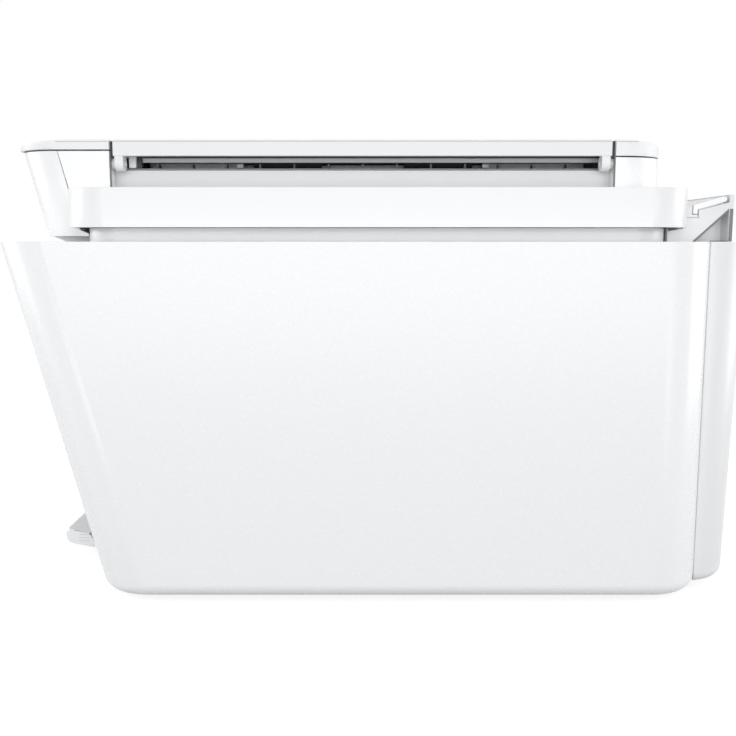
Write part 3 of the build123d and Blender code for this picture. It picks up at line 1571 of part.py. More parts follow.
# Platen under the ink carriage, and the service station beside it
carriage_park = plate_in - carriage_park_margin
carriage_rear = rail_y - rail_radius - running_gap - rail_web
carriage_front = carriage_rear - carriage_depth
station_x = (carriage_park - sleeve_margin, plate_in - sleeve_margin)
station_low = tray_wall_top + station_lift
platen_top = feed_roller_z + feed_roller_radius
platen_y = (output_roller_y + platen_roller_gap, feed_roller_y - platen_roller_gap)
platen_end = station_x[0] - plate_thickness
with BuildPart() as platen:
    add(block((-plate_in, platen_end), platen_y, (platen_top - 2 * wall, platen_top - platen_rib_height)))
    for number in range(int((platen_end + plate_in) / platen_rib_pitch)):
        rib_start = platen_rib_margin + number * platen_rib_pitch - plate_in
        rib_z = (platen_top - platen_rib_height, platen_top)
        add(block((rib_start, rib_start + rib_thickness), platen_y, rib_z))

with BuildPart() as service_station:
    add(block(station_x, (carriage_front, carriage_rear), (station_low, platen_top - cap_height)))
    bracket_y = (carriage_front + cap_margin / 2, carriage_rear - cap_margin / 2)
    add(block((station_x[1], plate_in), bracket_y, (station_low, station_low + station_bracket)))
    cap_x = (station_x[0] + cap_inset, station_x[0] + cap_inset + cap_length)
    cap_y = (carriage_front + cap_margin, carriage_rear - cap_margin)
    add(rounded(cap_x, cap_y, (platen_top - cap_height, platen_top), cap_height))
    cap_hollow = rounded(
        (cap_x[0] + cap_wall, cap_x[1] - cap_wall),
        (cap_y[0] + cap_wall, cap_y[1] - cap_wall),
        (platen_top - cap_height / 2, platen_top + cap_wall),
        cap_height - cap_wall,
    )
    add(cap_hollow, mode=Mode.SUBTRACT)

# Ink carriage on its rail, with two cartridges
with BuildPart() as carriage_rail:
    add(rod_x((-plate_in, plate_in), rail_y, rail_z, rail_radius))

carriage_low = platen_top + carriage_lift
carriage_x = (carriage_park - carriage_width / 2, carriage_park + carriage_width / 2)
bay_low = carriage_low + carriage_wall
belt_grip = belt_y - pulley_radius - belt_thickness - running_gap - grip_gap
with BuildPart() as ink_carriage:
    add(block(carriage_x, (carriage_front, carriage_rear), (carriage_low, carriage_low + carriage_height)))
    bay_y = (carriage_front + carriage_wall, carriage_rear - carriage_wall)
    for side in (-1, 1):
        bay_end = carriage_park + side * (carriage_width / 2 - carriage_wall)
        bay = sorted((carriage_park + side * divider_half, bay_end))
        add(block(bay, bay_y, (bay_low, top_z)), mode=Mode.SUBTRACT)
    bush_z = (rail_z - bush_half, rail_z + bush_half)
    add(block(carriage_x, (carriage_rear, rail_y + bush_half - shaft_radius), bush_z))
    clamp_x = (carriage_park - clamp_half, carriage_park + clamp_half)
    add(block(clamp_x, (carriage_rear, belt_grip), (rail_z - bearing_half, rail_z + bush_half)))
    add(
        rod_x((carriage_x[0] - wall, carriage_x[1] + wall), rail_y, rail_z, rail_radius + shaft_clearance),
        mode=Mode.SUBTRACT,
    )

with BuildPart() as ink_cartridges:
    cell_y = (bay_y[0] + running_gap, bay_y[1] - running_gap)
    for side in (-1, 1):
        cell_end = carriage_park + side * (carriage_width / 2 - carriage_wall - running_gap)
        cell = sorted((carriage_park + side * (divider_half + running_gap), cell_end))
        add(block(cell, cell_y, (bay_low, carriage_low + cartridge_height)))

# Timing belts for the carriage and the scan bar
with BuildPart() as timing_belts:
    with BuildSketch(Plane.XY.offset(belt_z - belt_height / 2)):
        with Locations((0, belt_y)):
            belt_out = pulley_radius + running_gap + belt_thickness
            SlotCenterToCenter(2 * belt_end, 2 * belt_out)
            SlotCenterToCenter(2 * belt_end, 2 * (belt_out - belt_thickness), mode=Mode.SUBTRACT)
    extrude(amount=belt_height)
    scan_left = scan_motor_inset - half_scanner
    scan_right = glass_right + bar_overhang
    with BuildSketch(Plane.XY.offset(bezel_bottom - scan_belt_drop)):
        with Locations(((scan_left + scan_right) / 2, scan_belt_y)):
            scan_out = scan_pulley_radius + running_gap + belt_thickness
            SlotCenterToCenter(scan_right - scan_left, 2 * scan_out)
            SlotCenterToCenter(scan_right - scan_left, 2 * (scan_out - belt_thickness), mode=Mode.SUBTRACT)
    extrude(amount=scan_belt_height)

# Drive motors: carriage, paper feed and scan bar
with BuildPart() as drive_motors:
    motor_seat = shelf_z + plate_thickness
    add(rod_z(belt_end, belt_y, (motor_seat, motor_seat + motor_length), carriage_motor_radius))
    add(rod_z(belt_end, belt_y, (belt_z - belt_height / 2, motor_seat), motor_shaft_radius))
    add(rod_z(belt_end, belt_y, (belt_z - belt_height / 2, belt_z + belt_height / 2), pulley_radius))
    add(rod_x(motor_x, motor_y, motor_z, feed_motor_radius))
    add(rod_x((gear_x[0], motor_x[0]), motor_y, motor_z, pinion_radius))
    scan_motor_top = bezel_bottom - scan_belt_drop - bezel_ledge
    add(rod_z(scan_left, scan_belt_y, (base_floor, scan_motor_top), scan_motor_radius))
    scan_pulley_z = (scan_motor_top, bezel_bottom - bezel_ledge - panel_gap)
    add(rod_z(scan_left, scan_belt_y, scan_pulley_z, scan_pulley_radius))

# Electronics: main board on its posts, and the power unit on the floor
board_x = (-plate_out - board_standoff - board_thickness, -plate_out - board_standoff)
with BuildPart() as main_board:
    add(block(board_x, board_y, board_z))
    for share_y, share_z, length, height in chips:
        low_y = board_y[0] + share_y * (board_y[1] - board_y[0])
        low_z = board_z[0] + share_z * board_height
        add(block((board_x[0] - chip_rise, board_x[0]), (low_y, low_y + length), (low_z, low_z + height)))

power_front = body_front(floor_top) + wall + power_front_gap
power_x = (gear_x[1] + power_side_gap, half_body - power_outer_margin)
with BuildPart() as power_unit:
    add(block(power_x, (power_front, power_front + power_length), (floor_top, floor_top + power_height)))
    fillet(power_unit.edges().filter_by(Axis.Z), power_edge)

# Write every piece as its own file
pieces = {
    "bottom_case": bottom_case,
    "right_side_cover": right_side_cover,
    "left_side_cover": left_side_cover,
    "front_panel": front_panel,
    "rear_cover": rear_cover,
    "case_screws": case_screws,
    "power_inlet": power_inlet,
    "usb_port": usb_port,
    "rubber_feet": rubber_feet,
    "top_deck": top_deck,
    "middle_band": middle_band,
    "scanner_base": scanner_base,
    "front_fascia": front_fascia,
    "glass_bezel": glass_bezel,
    "scanner_glass": scanner_glass,
    "document_guide": document_guide,
    "adf_idler_roller": adf_idler_roller,
    "adf_feed_roller": adf_feed_roller,
    "scan_rail": scan_rail,
    "scan_carriage": scan_carriage,
    "lid_shell": lid_shell,
    "lid_backing": lid_backing,
    "document_gate": document_gate,
    "lid_hinge_arms": lid_hinge_arms,
    "lid_hinge_brackets": lid_hinge_brackets,
    "lid_hinge_pins": lid_hinge_pins,
    "document_flap": document_flap,
    "control_deck": control_deck,
    "display_window": display_window,
    "power_button": power_button,
    "left_button": left_button,
    "right_button": right_button,
    "stop_button": stop_button,
    "start_button": start_button,
    "cartridge_door": cartridge_door,
    "output_tray": output_tray,
    "output_catch": output_catch,
    "hopper": hopper,
    "separation_pad": separation_pad,
    "paper_support": paper_support,
    "support_extension": support_extension,
    "feed_slot_cover": feed_slot_cover,
    "right_paper_guide": right_paper_guide,
    "left_paper_guide": left_paper_guide,
    "chassis": chassis,
    "feed_roller": feed_roller,
    "output_roller": output_roller,
    "pickup_roller": pickup_roller,
    "pinch_rollers": pinch_rollers,
    "front_idler_gear": front_idler_gear,
    "rear_idler_gear": rear_idler_gear,
    "platen": platen,
    "service_station": service_station,
    "carriage_rail": carriage_rail,
    "ink_carriage": ink_carriage,
    "ink_cartridges": ink_cartridges,
    "timing_belts": timing_belts,
    "drive_motors": drive_motors,
    "main_board": main_board,
    "power_unit": power_unit,
}
for label, piece in pieces.items():
    piece.part.label = label
    export_step(piece.part, f"parts/{label}.step")
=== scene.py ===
import json
from math import cos, radians, sin

import bmesh
import bpy
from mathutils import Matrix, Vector


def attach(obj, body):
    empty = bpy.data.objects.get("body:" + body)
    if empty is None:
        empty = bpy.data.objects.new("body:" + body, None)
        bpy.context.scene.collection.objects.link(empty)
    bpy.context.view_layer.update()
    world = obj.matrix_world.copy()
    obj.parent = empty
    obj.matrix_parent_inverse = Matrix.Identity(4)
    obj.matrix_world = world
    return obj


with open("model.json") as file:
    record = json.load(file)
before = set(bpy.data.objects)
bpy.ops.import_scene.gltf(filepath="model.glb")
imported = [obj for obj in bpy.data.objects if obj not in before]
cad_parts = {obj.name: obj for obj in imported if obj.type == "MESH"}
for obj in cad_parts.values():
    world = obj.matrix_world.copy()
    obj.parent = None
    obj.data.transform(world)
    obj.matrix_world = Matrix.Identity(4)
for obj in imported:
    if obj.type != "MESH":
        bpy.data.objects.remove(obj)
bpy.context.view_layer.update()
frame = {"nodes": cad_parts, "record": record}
nodes = frame["nodes"]

MM = 0.001


# Materials


def shader_tree(name):
    """A new material with only its output and a principled shader."""
    material = bpy.data.materials.new(name)
    material.use_nodes = True
    tree = material.node_tree
    return material, tree.nodes, tree.links, tree.nodes["Principled BSDF"]


def surface_coordinates(tree_nodes, links, scale):
    """Object coordinates, stretched by a scale."""
    coordinates = tree_nodes.new("ShaderNodeTexCoord")
    mapping = tree_nodes.new("ShaderNodeMapping")
    mapping.inputs["Scale"].default_value = scale
    links.new(coordinates.outputs["Object"], mapping.inputs["Vector"])
    return mapping.outputs["Vector"]


def noise(tree_nodes, links, vector, scale, detail=2.0):
    """A noise texture's value."""
    texture = tree_nodes.new("ShaderNodeTexNoise")
    texture.inputs["Scale"].default_value = scale
    texture.inputs["Detail"].default_value = detail
    links.new(vector, texture.inputs["Vector"])
    return texture.outputs["Fac"]


def spread(tree_nodes, links, value, low, high):
    """A value between 0 and 1 stretched to another range."""
    stretch = tree_nodes.new("ShaderNodeMapRange")
    stretch.inputs["To Min"].default_value = low
    stretch.inputs["To Max"].default_value = high
    links.new(value, stretch.inputs["Value"])
    return stretch.outputs["Result"]


def tint(tree_nodes, links, value, first, second):
    """A colour that runs from the first to the second with a value."""
    ramp = tree_nodes.new("ShaderNodeValToRGB")
    ramp.color_ramp.elements[0].position = 0.1
    ramp.color_ramp.elements[1].position = 0.9
    ramp.color_ramp.elements[0].color = (*first, 1)
    ramp.color_ramp.elements[1].color = (*second, 1)
    links.new(value, ramp.inputs["Fac"])
    return ramp.outputs["Color"]


def bump(tree_nodes, links, height, distance, strength=1.0):
    """A bump normal from a height."""
    node = tree_nodes.new("ShaderNodeBump")
    node.inputs["Strength"].default_value = strength
    node.inputs["Distance"].default_value = distance
    links.new(height, node.inputs["Height"])
    return node.outputs["Normal"]


CLOUD_SCALE = 30.0
GLOSS_SPREAD = 0.02
COAT_ROUGHNESS = 0.12


def plastic(
    name, colour, roughness, grain=1400.0, depth=0.000004, coat=0.0, variation=0.0015, gloss=0.5
):
    """Moulded plastic: a fine spark-eroded grain, a faint drift in colour and uneven gloss."""
    material, tree_nodes, links, shader = shader_tree(name)
    vector = surface_coordinates(tree_nodes, links, (1, 1, 1))
    cloud = noise(tree_nodes, links, vector, CLOUD_SCALE, 0.0)
    fine = noise(tree_nodes, links, vector, grain, 2.0)
    darker = [max(0.0, c - variation) for c in colour]
    links.new(tint(tree_nodes, links, cloud, darker, colour), shader.inputs["Base Color"])
    uneven = spread(tree_nodes, links, fine, roughness - GLOSS_SPREAD, roughness + GLOSS_SPREAD)
    links.new(uneven, shader.inputs["Roughness"])
    links.new(bump(tree_nodes, links, fine, depth), shader.inputs["Normal"])
    shader.inputs["Specular IOR Level"].default_value = gloss
    shader.inputs["Coat Weight"].default_value = coat
    shader.inputs["Coat Roughness"].default_value = COAT_ROUGHNESS
    return material


def brushed(name, colour, roughness, direction):
    """Metal with fine lines drawn along one direction."""
    material, tree_nodes, links, shader = shader_tree(name)
    vector = surface_coordinates(tree_nodes, links, direction)
    lines = noise(tree_nodes, links, vector, 60.0, 4.0)
    darker = [c * 0.88 for c in colour]
    links.new(tint(tree_nodes, links, lines, darker, colour), shader.inputs["Base Color"])
    uneven = spread(tree_nodes, links, lines, roughness - 0.06, roughness + 0.08)
    links.new(uneven, shader.inputs["Roughness"])
    links.new(bump(tree_nodes, links, lines, 0.00001), shader.inputs["Normal"])
    shader.inputs["Metallic"].default_value = 1.0
    return material


def clear_glass(name):
    """Clear float glass with a faint green body."""
    material, tree_nodes, links, shader = shader_tree(name)
    vector = surface_coordinates(tree_nodes, links, (1, 1, 1))
    waves = noise(tree_nodes, links, vector, 20.0, 1.0)
    links.new(spread(tree_nodes, links, waves, 0.01, 0.04), shader.inputs["Roughness"])
    shader.inputs["Base Color"].default_value = (0.92, 0.955, 0.945, 1)
    shader.inputs["Transmission Weight"].default_value = 1.0
    shader.inputs["IOR"].default_value = 1.5
    return material


CASING_COLOUR = (0.875, 0.88, 0.882)
finishes = {
    "casing": plastic("white_casing", CASING_COLOUR, 0.27),
    "inner_grey": plastic("light_grey_plastic", (0.58, 0.595, 0.6), 0.5),
    "catch_grey": plastic("pale_grey_plastic", (0.69, 0.695, 0.7), 0.55),
    "inner_black": plastic("black_plastic", (0.022, 0.023, 0.024), 0.5, variation=0.006),
    "cartridge": plastic("dark_grey_plastic", (0.035, 0.037, 0.04), 0.42, variation=0.008),
    "sheet_steel": brushed("sheet_steel", (0.55, 0.56, 0.57), 0.34, (1, 12, 1)),
    "polished_steel": brushed("ground_steel", (0.68, 0.68, 0.69), 0.2, (1, 20, 20)),
    "glass": clear_glass("flatbed_glass"),
    "display": plastic(
        "display_window", (0.008, 0.009, 0.012), 0.12, depth=0.0, coat=0.6, variation=0.002
    ),
    "backing": plastic("backing_sheet", (0.82, 0.82, 0.81), 0.7, grain=500.0, depth=0.00005),
    "rubber": plastic(
        "black_rubber", (0.02, 0.02, 0.021), 0.75, grain=700.0, depth=0.00004, variation=0.006
    ),
    "gear": plastic("gear_acetal", (0.72, 0.71, 0.66), 0.42),
    "board": plastic("circuit_board", (0.01, 0.07, 0.025), 0.35, grain=300.0, variation=0.004),
    "key": plastic("grey_key", (0.3, 0.315, 0.33), 0.45),
}
# A darker copy of the casing white for the hopper, painted as the shade it sits in
hopper_shaded_white = plastic("hopper_shaded_white", (0.745, 0.75, 0.755), 0.34)
# A darker copy of the casing white for the rear cover, painted as shade on its recessed face
cover_shaded_white = plastic("cover_shaded_white", (0.79, 0.795, 0.798), 0.3)
# A lighter copy of the casing white for the output tray, painted as light on its lip
tray_lit_white = plastic("tray_lit_white", (0.92, 0.925, 0.926), 0.3)
band_white = plastic("band_white", (0.835, 0.84, 0.842), 0.3)
flap_white = plastic("flap_white", (0.815, 0.82, 0.822), 0.46, gloss=0.3)
lid_white = plastic("lid_white", (0.85, 0.855, 0.857), 0.46, gloss=0.3)
# A darker white painted as shade on the recess wall, the rear seams and the tray's grip lines
painted_shade_white = plastic("painted_shade_white", (0.7, 0.706, 0.71), 0.45)
# A grey painted as the shade along the rounded top edges
edge_shade_grey = plastic("edge_shade_grey", (0.56, 0.565, 0.57), 0.5)
shade_grey = plastic("shade_grey", (0.2, 0.205, 0.21), 0.6)
rib_grey = plastic("rib_grey", (0.07, 0.072, 0.075), 0.5)
mark_white = plastic("mark_white", (0.8, 0.8, 0.8), 0.5)
ink_colours = {
    "black": plastic("ink_label_black", (0.03, 0.03, 0.032), 0.4),
    "cyan": plastic("ink_label_cyan", (0.02, 0.36, 0.6), 0.4),
    "magenta": plastic("ink_label_magenta", (0.6, 0.03, 0.22), 0.4),
    "yellow": plastic("ink_label_yellow", (0.8, 0.6, 0.03), 0.4),
}

slots = {part["node"]: part["material_slot"] for part in frame["record"]["subparts"]}
for name, node in nodes.items():
    node.data.materials.clear()
    node.data.materials.append(finishes[slots[name]])
NODE_FINISHES = {
    "hopper": hopper_shaded_white,
    "rear_cover": cover_shaded_white,
    "document_flap": flap_white,
    "lid_shell": lid_white,
    "middle_band": band_white,
    "output_tray": tray_lit_white,
    "control_deck": lid_white,
}
for name, finish in NODE_FINISHES.items():
    nodes[name].data.materials[0] = finish


# Softened edges


def soften(node, width, segments=3, angle=28.0):
    """Rounds the sharp edges of a piece without moving its faces."""
    weld = node.modifiers.new("weld", "WELD")
    weld.merge_threshold = 0.01 * MM
    edge = node.modifiers.new("edge", "BEVEL")
    edge.width = width * MM
    edge.segments = segments
    edge.limit_method = "ANGLE"
    edge.angle_limit = radians(angle)
    edge.use_clamp_overlap = True
    edge.harden_normals = True
    edge.miter_outer = "MITER_ARC"


EDGE_WIDTHS = {
    "right_side_cover": 0.5,
    "left_side_cover": 0.5,
    "front_panel": 0.3,
    "cartridge_door": 0.35,
    "rear_cover": 0.12,
    "top_deck": 0.35,
    "middle_band": 0.5,
    "scanner_base": 0.4,
    "front_fascia": 0.4,
    "lid_shell": 0.6,
    "document_flap": 0.5,
    "control_deck": 0.5,
    "output_tray": 0.5,
    "output_catch": 0.5,
    "hopper": 0.35,
    "feed_slot_cover": 0.45,
}
for name, width in EDGE_WIDTHS.items():
    soften(nodes[name], width)


# Small pieces that the solids leave out, and strips painted as shade, each in millimetres on the body
# that carries it

AXIS_ORDER = {"X": (0, 1, 2), "Y": (1, 0, 2), "Z": (1, 2, 0)}


def prism_piece(name, body, slot, outline, span, axis="X", edge=0.12, finish=None):
    """Closed outlines pushed along an axis, their edges softened. The outline leaves that axis out."""
    islands = outline if isinstance(outline[0][0], (tuple, list)) else [outline]
    form = bmesh.new()
    for island in islands:
        ends = []
        for along in span:
            points = [(along, *corner) for corner in island]
            placed = [[point[i] * MM for i in AXIS_ORDER[axis]] for point in points]
            ends.append([form.verts.new(corner) for corner in placed])
        low, high = ends
        form.faces.new(low)
        form.faces.new(high)
        for i, corner in enumerate(low):
            form.faces.new((low[i - 1], corner, high[i], high[i - 1]))
    bmesh.ops.recalc_face_normals(form, faces=form.faces)
    mesh = bpy.data.meshes.new(name)
    form.to_mesh(mesh)
    form.free()
    mesh.materials.append(finish or finishes[slot])
    piece = bpy.data.objects.new(name, mesh)
    bpy.context.scene.collection.objects.link(piece)
    if edge:
        rounding = piece.modifiers.new("edge", "BEVEL")
        rounding.width = edge * MM
        rounding.segments = 2
        rounding.limit_method = "ANGLE"
        rounding.angle_limit = radians(30.0)
        rounding.harden_normals = True
    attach(piece, body)
    return piece


def corners(first, second):
    """The four corners of an upright rectangle."""
    return [(first[0], second[0]), (first[1], second[0]), (first[1], second[1]), (first[0], second[1])]


# Document flap: black strips painted as shadow in its end gaps, under the lid's edge and at the slot's
# front end, grey strips painted as shade on the recess's edges, and a darker white panel painted as
# shade on the recess wall
FLAP_GAPS = {"front": (-121.95, -120.3), "rear": (106.4, 108.05)}
GAP_SHADOW_LEVELS, GAP_SHADOW_DEPTH = (197.6, 205.2), (174.6, 175.6)
for end, gap in FLAP_GAPS.items():
    prism_piece(f"flap_gap_shadow_{end}", "lid", "inner_black", corners(gap, GAP_SHADOW_LEVELS), GAP_SHADOW_DEPTH)
# Grey strips painted as shade down the notch's end walls
NOTCH_ENDS = {"front": (-121.95, -121.5), "rear": (107.6, 108.05)}
NOTCH_LEVELS, NOTCH_DEPTH = (183.5, 197.4), (176.4, 177.7)
for end, strip in NOTCH_ENDS.items():
    outline = corners(strip, NOTCH_LEVELS)
    prism_piece(f"recess_edge_shadow_{end}", "root", "inner_grey", outline, NOTCH_DEPTH, finish=shade_grey)
# Black strips painted as shadow under the gate's edge and at the slot's front end
GATE_SHADOWS = {
    "gate_seal": ((-112.3, 106.0), (198.45, 199.9), (165.52, 166.0)),
    "gate_end": ((-112.35, -110.3), (193.95, 198.4), (163.6, 165.4)),
}
for name, (run, levels, depth) in GATE_SHADOWS.items():
    prism_piece(name, "lid", "inner_black", corners(run, levels), depth)
# A grey strip painted as the shadow along the recess wall's top edge
top_shadow_outline = corners((-121.5, 107.6), (192.7, 193.55))
prism_piece("recess_top_shadow", "root", "inner_grey", top_shadow_outline, (168.02, 168.35), finish=shade_grey)
# A darker white panel painted as shade over the recess wall
shade_panel_outline = corners((-121.9, 108.0), (183.2, 192.6))
prism_piece("recess_shade_panel", "root", "casing", shade_panel_outline, (168.02, 168.3), finish=painted_shade_white)
# Grey lines painted as the shade along the rounded top edges of the lid and flap
EDGE_SHADE_LINES = {
    "lid_line_front": ("lid", (-146.0, -122.4), (178.0, 178.06)),
    "flap_line": ("flap", (-119.9, 106.0), (177.75, 177.97)),
    "lid_line_rear": ("lid", (108.5, 118.0), (178.0, 178.06)),
}
EDGE_SHADE_LEVELS = (204.55, 204.95)
for name, (body, run, depth) in EDGE_SHADE_LINES.items():
    prism_piece(name, body, "casing", corners(run, EDGE_SHADE_LEVELS), depth, edge=0, finish=edge_shade_grey)
GUIDE_RIB_PITCH = 16.0
GUIDE_MIDDLE = -6.95
GUIDE_RIBS = 13
RIB_HALF, RIB_LEVELS, RIB_DEPTH = 0.4, (194.62, 196.0), (159.0, 165.0)
rib_outlines = []
for number in range(GUIDE_RIBS):
    middle = GUIDE_MIDDLE + (number - (GUIDE_RIBS - 1) / 2) * GUIDE_RIB_PITCH
    rib_outlines.append(corners((middle - RIB_HALF, middle + RIB_HALF), RIB_LEVELS))
prism_piece("guide_rib_caps", "root", "inner_black", rib_outlines, RIB_DEPTH, edge=0.1, finish=rib_grey)

# Paper hopper: cheeks before the slot cover and its seat, and dark strips painted as shade on the neck,
# the gussets' edges, the wall and the base
COVER_LOW, COVER_SLOPE, COVER_SKIN = (143.3, 176.2), 0.28675, 2.4967


def cover_underside(y, drop):
    """A point below the slot cover's underside."""
    return (y, COVER_LOW[1] + (y - COVER_LOW[0]) * COVER_SLOPE - COVER_SKIN - drop)


cheek = [(139.2, 170.7), (145.5, 170.7), (145.5, 172.1), (142.9, 172.1), (142.9, 176.0), (139.2, 176.0)]
seat_points = ((145.9, 0.48), (157.0, 0.48), (157.0, 0.15), (145.9, 0.15))
seat = [cover_underside(y, drop) for y, drop in seat_points]
neck_shade = [(132.2, 165.6), (137.4, 165.6), (132.2, 164.6)]
gusset_shade = [(143.6, 159.9), (159.4, 174.4), (159.4, 173.2), (145.0, 159.9)]
wall_shade = corners((159.9, 161.4), (160.0, 174.6))
base_shade = corners((151.5, 159.8), (159.85, 160.35))
for side, sign in (("right", 1), ("left", -1)):
    for name, outline, span, slot, finish in (
        ("slot_cheek", cheek, (178.2, 180.9), "casing", hopper_shaded_white),
        ("cover_seat", seat, (178.4, 180.95), "casing", hopper_shaded_white),
        ("neck_shade", neck_shade, (181.02, 181.3), "inner_black", None),
        ("gusset_shade", gusset_shade, (179.0, 180.6), "inner_grey", shade_grey),
        ("wall_shade", wall_shade, (181.02, 181.3), "inner_grey", shade_grey),
        ("base_shade", base_shade, (181.02, 181.3), "inner_grey", shade_grey),
    ):
        placed = sorted((sign * span[0], sign * span[1]))
        prism_piece(f"{name}_{side}", "root", slot, outline, placed, edge=0.08, finish=finish)

# A filler in the seam between the body's rear corner and the rear cover, in a darker white painted as
# the seam's shade
SEAM_CENTRE = (190.5, 123.0)
SEAM_RADII = (23.53, 23.77)
SEAM_TURNS = (69.8, 72.0, 74.0, 76.0)
SEAM_LEVELS = (8.5, 159.3)
for side, sign in (("right", 1), ("left", -1)):
    seam = []
    for radius, turns in ((SEAM_RADII[0], SEAM_TURNS), (SEAM_RADII[1], SEAM_TURNS[::-1])):
        for turn in turns:
            across = SEAM_CENTRE[0] + radius * cos(radians(turn))
            seam.append((sign * across, SEAM_CENTRE[1] + radius * sin(radians(turn))))
    name = f"seam_filler_{side}"
    prism_piece(name, "root", "casing", seam, SEAM_LEVELS, axis="Z", edge=0, finish=painted_shade_white)

# Output catch: end cheeks on its pins, and flat grip lines on the tray's lip, painted in a darker white
# as the shade of grooves
catch_cheek = [(-157.1, 15.3), (-155.9, 16.6), (-137.0, 32.4), (-137.0, 22.0), (-146.6, 12.6)]
GRIP_RUN, GRIP_LOWS, GRIP_HEIGHT = (-152.0, -146.4), (8.4, 10.0, 11.6), 0.35
CHEEK_DEPTH, GRIP_DEPTH = (153.1, 153.45), (152.99, 153.05)
for side, sign in (("right", 1), ("left", -1)):
    span = sorted(sign * depth for depth in CHEEK_DEPTH)
    prism_piece(f"catch_cheek_{side}", "catch", "catch_grey", catch_cheek, span, edge=0.1)
    grip_shades = [corners(GRIP_RUN, (low, low + GRIP_HEIGHT)) for low in GRIP_LOWS]
    span = sorted(sign * depth for depth in GRIP_DEPTH)
    prism_piece(f"lip_grip_shade_{side}", "tray", "casing", grip_shades, span, edge=0, finish=painted_shade_white)

# Cartridge door: a finger ridge below its top edge. Its face leans with the front
FACE_SLOPE = 0.26048
FACE_TOP = (-166.7, 159.8)


def front_face(z, out):
    """A point a distance in front of the leaning front face."""
    return (FACE_TOP[0] + (FACE_TOP[1] - z) * FACE_SLOPE - out, z)


ridge = ((149.6, -0.2), (148.8, 0.35), (145.2, 1.3), (144.4, 1.3), (144.2, -0.2))
grip = [front_face(z, out) for z, out in ridge]
prism_piece("door_grip", "door", "casing", grip, (-21.0, 21.0), edge=0.25)

# Output tray: low ribs under the paper
TRAY_RIB_PLACES, TRAY_RIB_HALF = (-105.0, -63.0, -21.0, 21.0, 63.0, 105.0), 0.8
TRAY_RIB_RUN = (-128.0, -4.0)
tray_ribs = [corners((x - TRAY_RIB_HALF, x + TRAY_RIB_HALF), TRAY_RIB_RUN) for x in TRAY_RIB_PLACES]
prism_piece("tray_ribs", "tray", "casing", tray_ribs, (7.9, 8.5), axis="Z", edge=0.15)

# Ink cartridges: colour patches on their tops and on the carriage before them
INK_PLACES = {
    "black": (77.0, 99.0),
    "cyan": (110.0, 117.0),
    "magenta": (118.0, 125.0),
    "yellow": (126.0, 133.0),
}
INK_PATCHES = (
    ("ink_patch", "Z", (10.0, 38.0), (102.4, 102.65)),
    ("ink_mark", "Y", (84.0, 94.0), (-6.45, -6.2)),
)
for ink, across in INK_PLACES.items():
    for prefix, axis, run, span in INK_PATCHES:
        outline, finish = corners(across, run), ink_colours[ink]
        prism_piece(f"{prefix}_{ink}", "carriage", "cartridge", outline, span, axis, 0.05, finish)

# Marks on the keys, all generic
KEY_X = -167.25
KEY_TOP = 205.5
MARK_HEIGHT = 0.08
MARK = 2.1


def ring(centre, outer, inner, start, end, steps=24):
    """Pieces of an open ring, as four-cornered outlines."""
    parts = []
    for number in range(steps):
        turns = [radians(start + (end - start) * (number + extra) / steps) for extra in (0, 1)]
        points = [(turn, outer) for turn in turns] + [(turn, inner) for turn in turns[::-1]]
        parts.append([(centre[0] + r * cos(turn), centre[1] + r * sin(turn)) for turn, r in points])
    return parts


def mark(name, body, place, shape):
    """A raised mark on a key."""
    outlines = [[(KEY_X + x * MARK, place + y * MARK) for x, y in island] for island in shape]
    span = (KEY_TOP - 0.02, KEY_TOP + MARK_HEIGHT)
    prism_piece(name, body, "key", outlines, span, axis="Z", edge=0, finish=mark_white)


power_shape = ring((0, 0), 1.0, 0.78, -240, 60) + [corners((-0.11, 0.11), (0.2, 1.25))]
mark("power_mark", "power_key", -112.0, power_shape)
mark("left_mark", "left_key", 10.1, [[(0.5, -0.9), (0.5, 0.9), (-0.9, 0)]])
mark("right_mark", "right_key", 34.1, [[(-0.5, 0.9), (-0.5, -0.9), (0.9, 0)]])
mark("stop_mark", "stop_key", 62.1, [corners((-0.75, 0.75), (-0.75, 0.75))])
mark("start_mark", "start_key", 86.1, [[(-0.6, -0.9), (0.95, 0), (-0.6, 0.9)]])


# Camera, light and ground

FOCAL_PIXELS = 890.0
IMAGE_PIXELS = 736.0
CAMERA_PLACE = (0.5912, -0.00445, 0.1593)
CAMERA_PITCH = radians(8.0)

scene = bpy.context.scene
lens = bpy.data.cameras.new("camera")
lens.sensor_width = 36.0
lens.lens = FOCAL_PIXELS / IMAGE_PIXELS * lens.sensor_width
lens.clip_start = 0.01
camera = bpy.data.objects.new("camera", lens)
camera.location = CAMERA_PLACE
looking = Vector((-cos(CAMERA_PITCH), 0, -sin(CAMERA_PITCH)))
camera.rotation_euler = looking.to_track_quat("-Z", "Y").to_euler()
scene.collection.objects.link(camera)
scene.camera = camera


def seen_rays(tree_nodes, links):
    """1 for the rays by which a background is seen directly, in gloss or through glass."""
    path = tree_nodes.new("ShaderNodeLightPath")
    seen = path.outputs["Is Camera Ray"]
    for ray in ("Is Glossy Ray", "Is Transmission Ray"):
        either = tree_nodes.new("ShaderNodeMath")
        either.operation = "MAXIMUM"
        links.new(seen, either.inputs[0])
        links.new(path.outputs[ray], either.inputs[1])
        seen = either.outputs[0]
    return seen


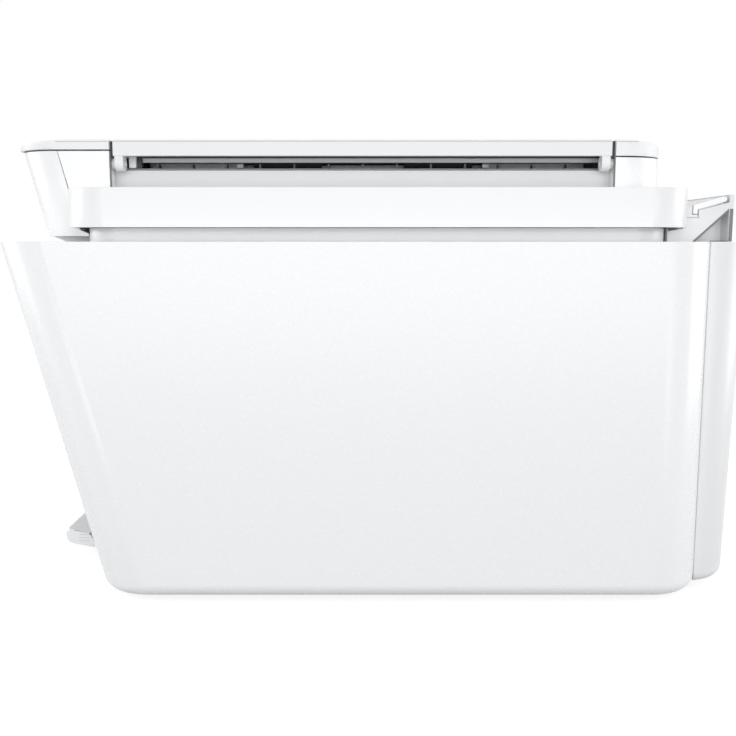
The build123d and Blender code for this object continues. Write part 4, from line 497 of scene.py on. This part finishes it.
world = bpy.data.worlds.new("world")
scene.world = world
world.use_nodes = True
w_nodes, w_links = world.node_tree.nodes, world.node_tree.links
seen = seen_rays(w_nodes, w_links)
soft = w_nodes["Background"]
soft.inputs["Color"].default_value = (0.95, 0.975, 1.0, 1)
soft.inputs["Strength"].default_value = 0.58
white = w_nodes.new("ShaderNodeBackground")
white.inputs["Color"].default_value = (1, 1, 1, 1)
white.inputs["Strength"].default_value = 1.0
either = w_nodes.new("ShaderNodeMixShader")
w_links.new(seen, either.inputs["Fac"])
w_links.new(soft.outputs[0], either.inputs[1])
w_links.new(white.outputs[0], either.inputs[2])
w_links.new(either.outputs[0], w_nodes["World Output"].inputs["Surface"])


def softbox(name, place, aim, size, power):
    """A square area lamp aimed at a point."""
    lamp = bpy.data.lights.new(name, "AREA")
    lamp.shape = "RECTANGLE"
    lamp.size, lamp.size_y = size
    lamp.energy = power
    box = bpy.data.objects.new(name, lamp)
    box.location = place
    box.rotation_euler = (Vector(aim) - Vector(place)).to_track_quat("-Z", "Y").to_euler()
    scene.collection.objects.link(box)


# Each lamp's place, aim, size and power
SOFTBOXES = {
    "near_light": ((1.2, 0, 0.21), (0, 0, 0.21), (1.3, 0.6), 7.95),
    "far_light": ((-1.4, 0, 0.2), (0, 0, 0.12), (1.2, 0.6), 4.6),
    "front_light": ((0.1, -1.5, 0.38), (0, 0, 0.1), (1.0, 0.8), 8.0),
    "rear_light": ((0.1, 1.5, 0.26), (0, 0, 0.1), (1.0, 0.8), 9.0),
}
for name, (place, aim, size, power) in SOFTBOXES.items():
    softbox(name, place, aim, size, power)

GROUND_SIZE = 6.0
GROUND_DROP = 0.1
ground_mesh = bpy.data.meshes.new("ground")
form = bmesh.new()
bmesh.ops.create_grid(form, x_segments=1, y_segments=1, size=GROUND_SIZE)
form.to_mesh(ground_mesh)
form.free()
ground = bpy.data.objects.new("ground", ground_mesh)
ground.location.z = -GROUND_DROP * MM
scene.collection.objects.link(ground)
ground_material = bpy.data.materials.new("ground")
ground_material.use_nodes = True
g_nodes, g_links = ground_material.node_tree.nodes, ground_material.node_tree.links
ground_shader = g_nodes["Principled BSDF"]
ground_shader.inputs["Base Color"].default_value = (0.29, 0.29, 0.29, 1)
ground_shader.inputs["Roughness"].default_value = 1.0
ground_shader.inputs["Specular IOR Level"].default_value = 0.0
glow = g_nodes.new("ShaderNodeEmission")
glow.inputs["Color"].default_value = (1, 1, 1, 1)
glow.inputs["Strength"].default_value = 0.8
lit = g_nodes.new("ShaderNodeBsdfDiffuse")
lit.inputs["Color"].default_value = (0.42, 0.42, 0.42, 1)
glow_and_lit = g_nodes.new("ShaderNodeAddShader")
ground_mix = g_nodes.new("ShaderNodeMixShader")
g_seen = seen_rays(g_nodes, g_links)
g_links.new(g_seen, ground_mix.inputs["Fac"])
g_links.new(ground_shader.outputs[0], ground_mix.inputs[1])
g_links.new(glow.outputs[0], glow_and_lit.inputs[0])
g_links.new(lit.outputs[0], glow_and_lit.inputs[1])
g_links.new(glow_and_lit.outputs[0], ground_mix.inputs[2])
g_links.new(ground_mix.outputs[0], g_nodes["Material Output"].inputs["Surface"])
ground.data.materials.append(ground_material)

scene.view_settings.view_transform = "Standard"
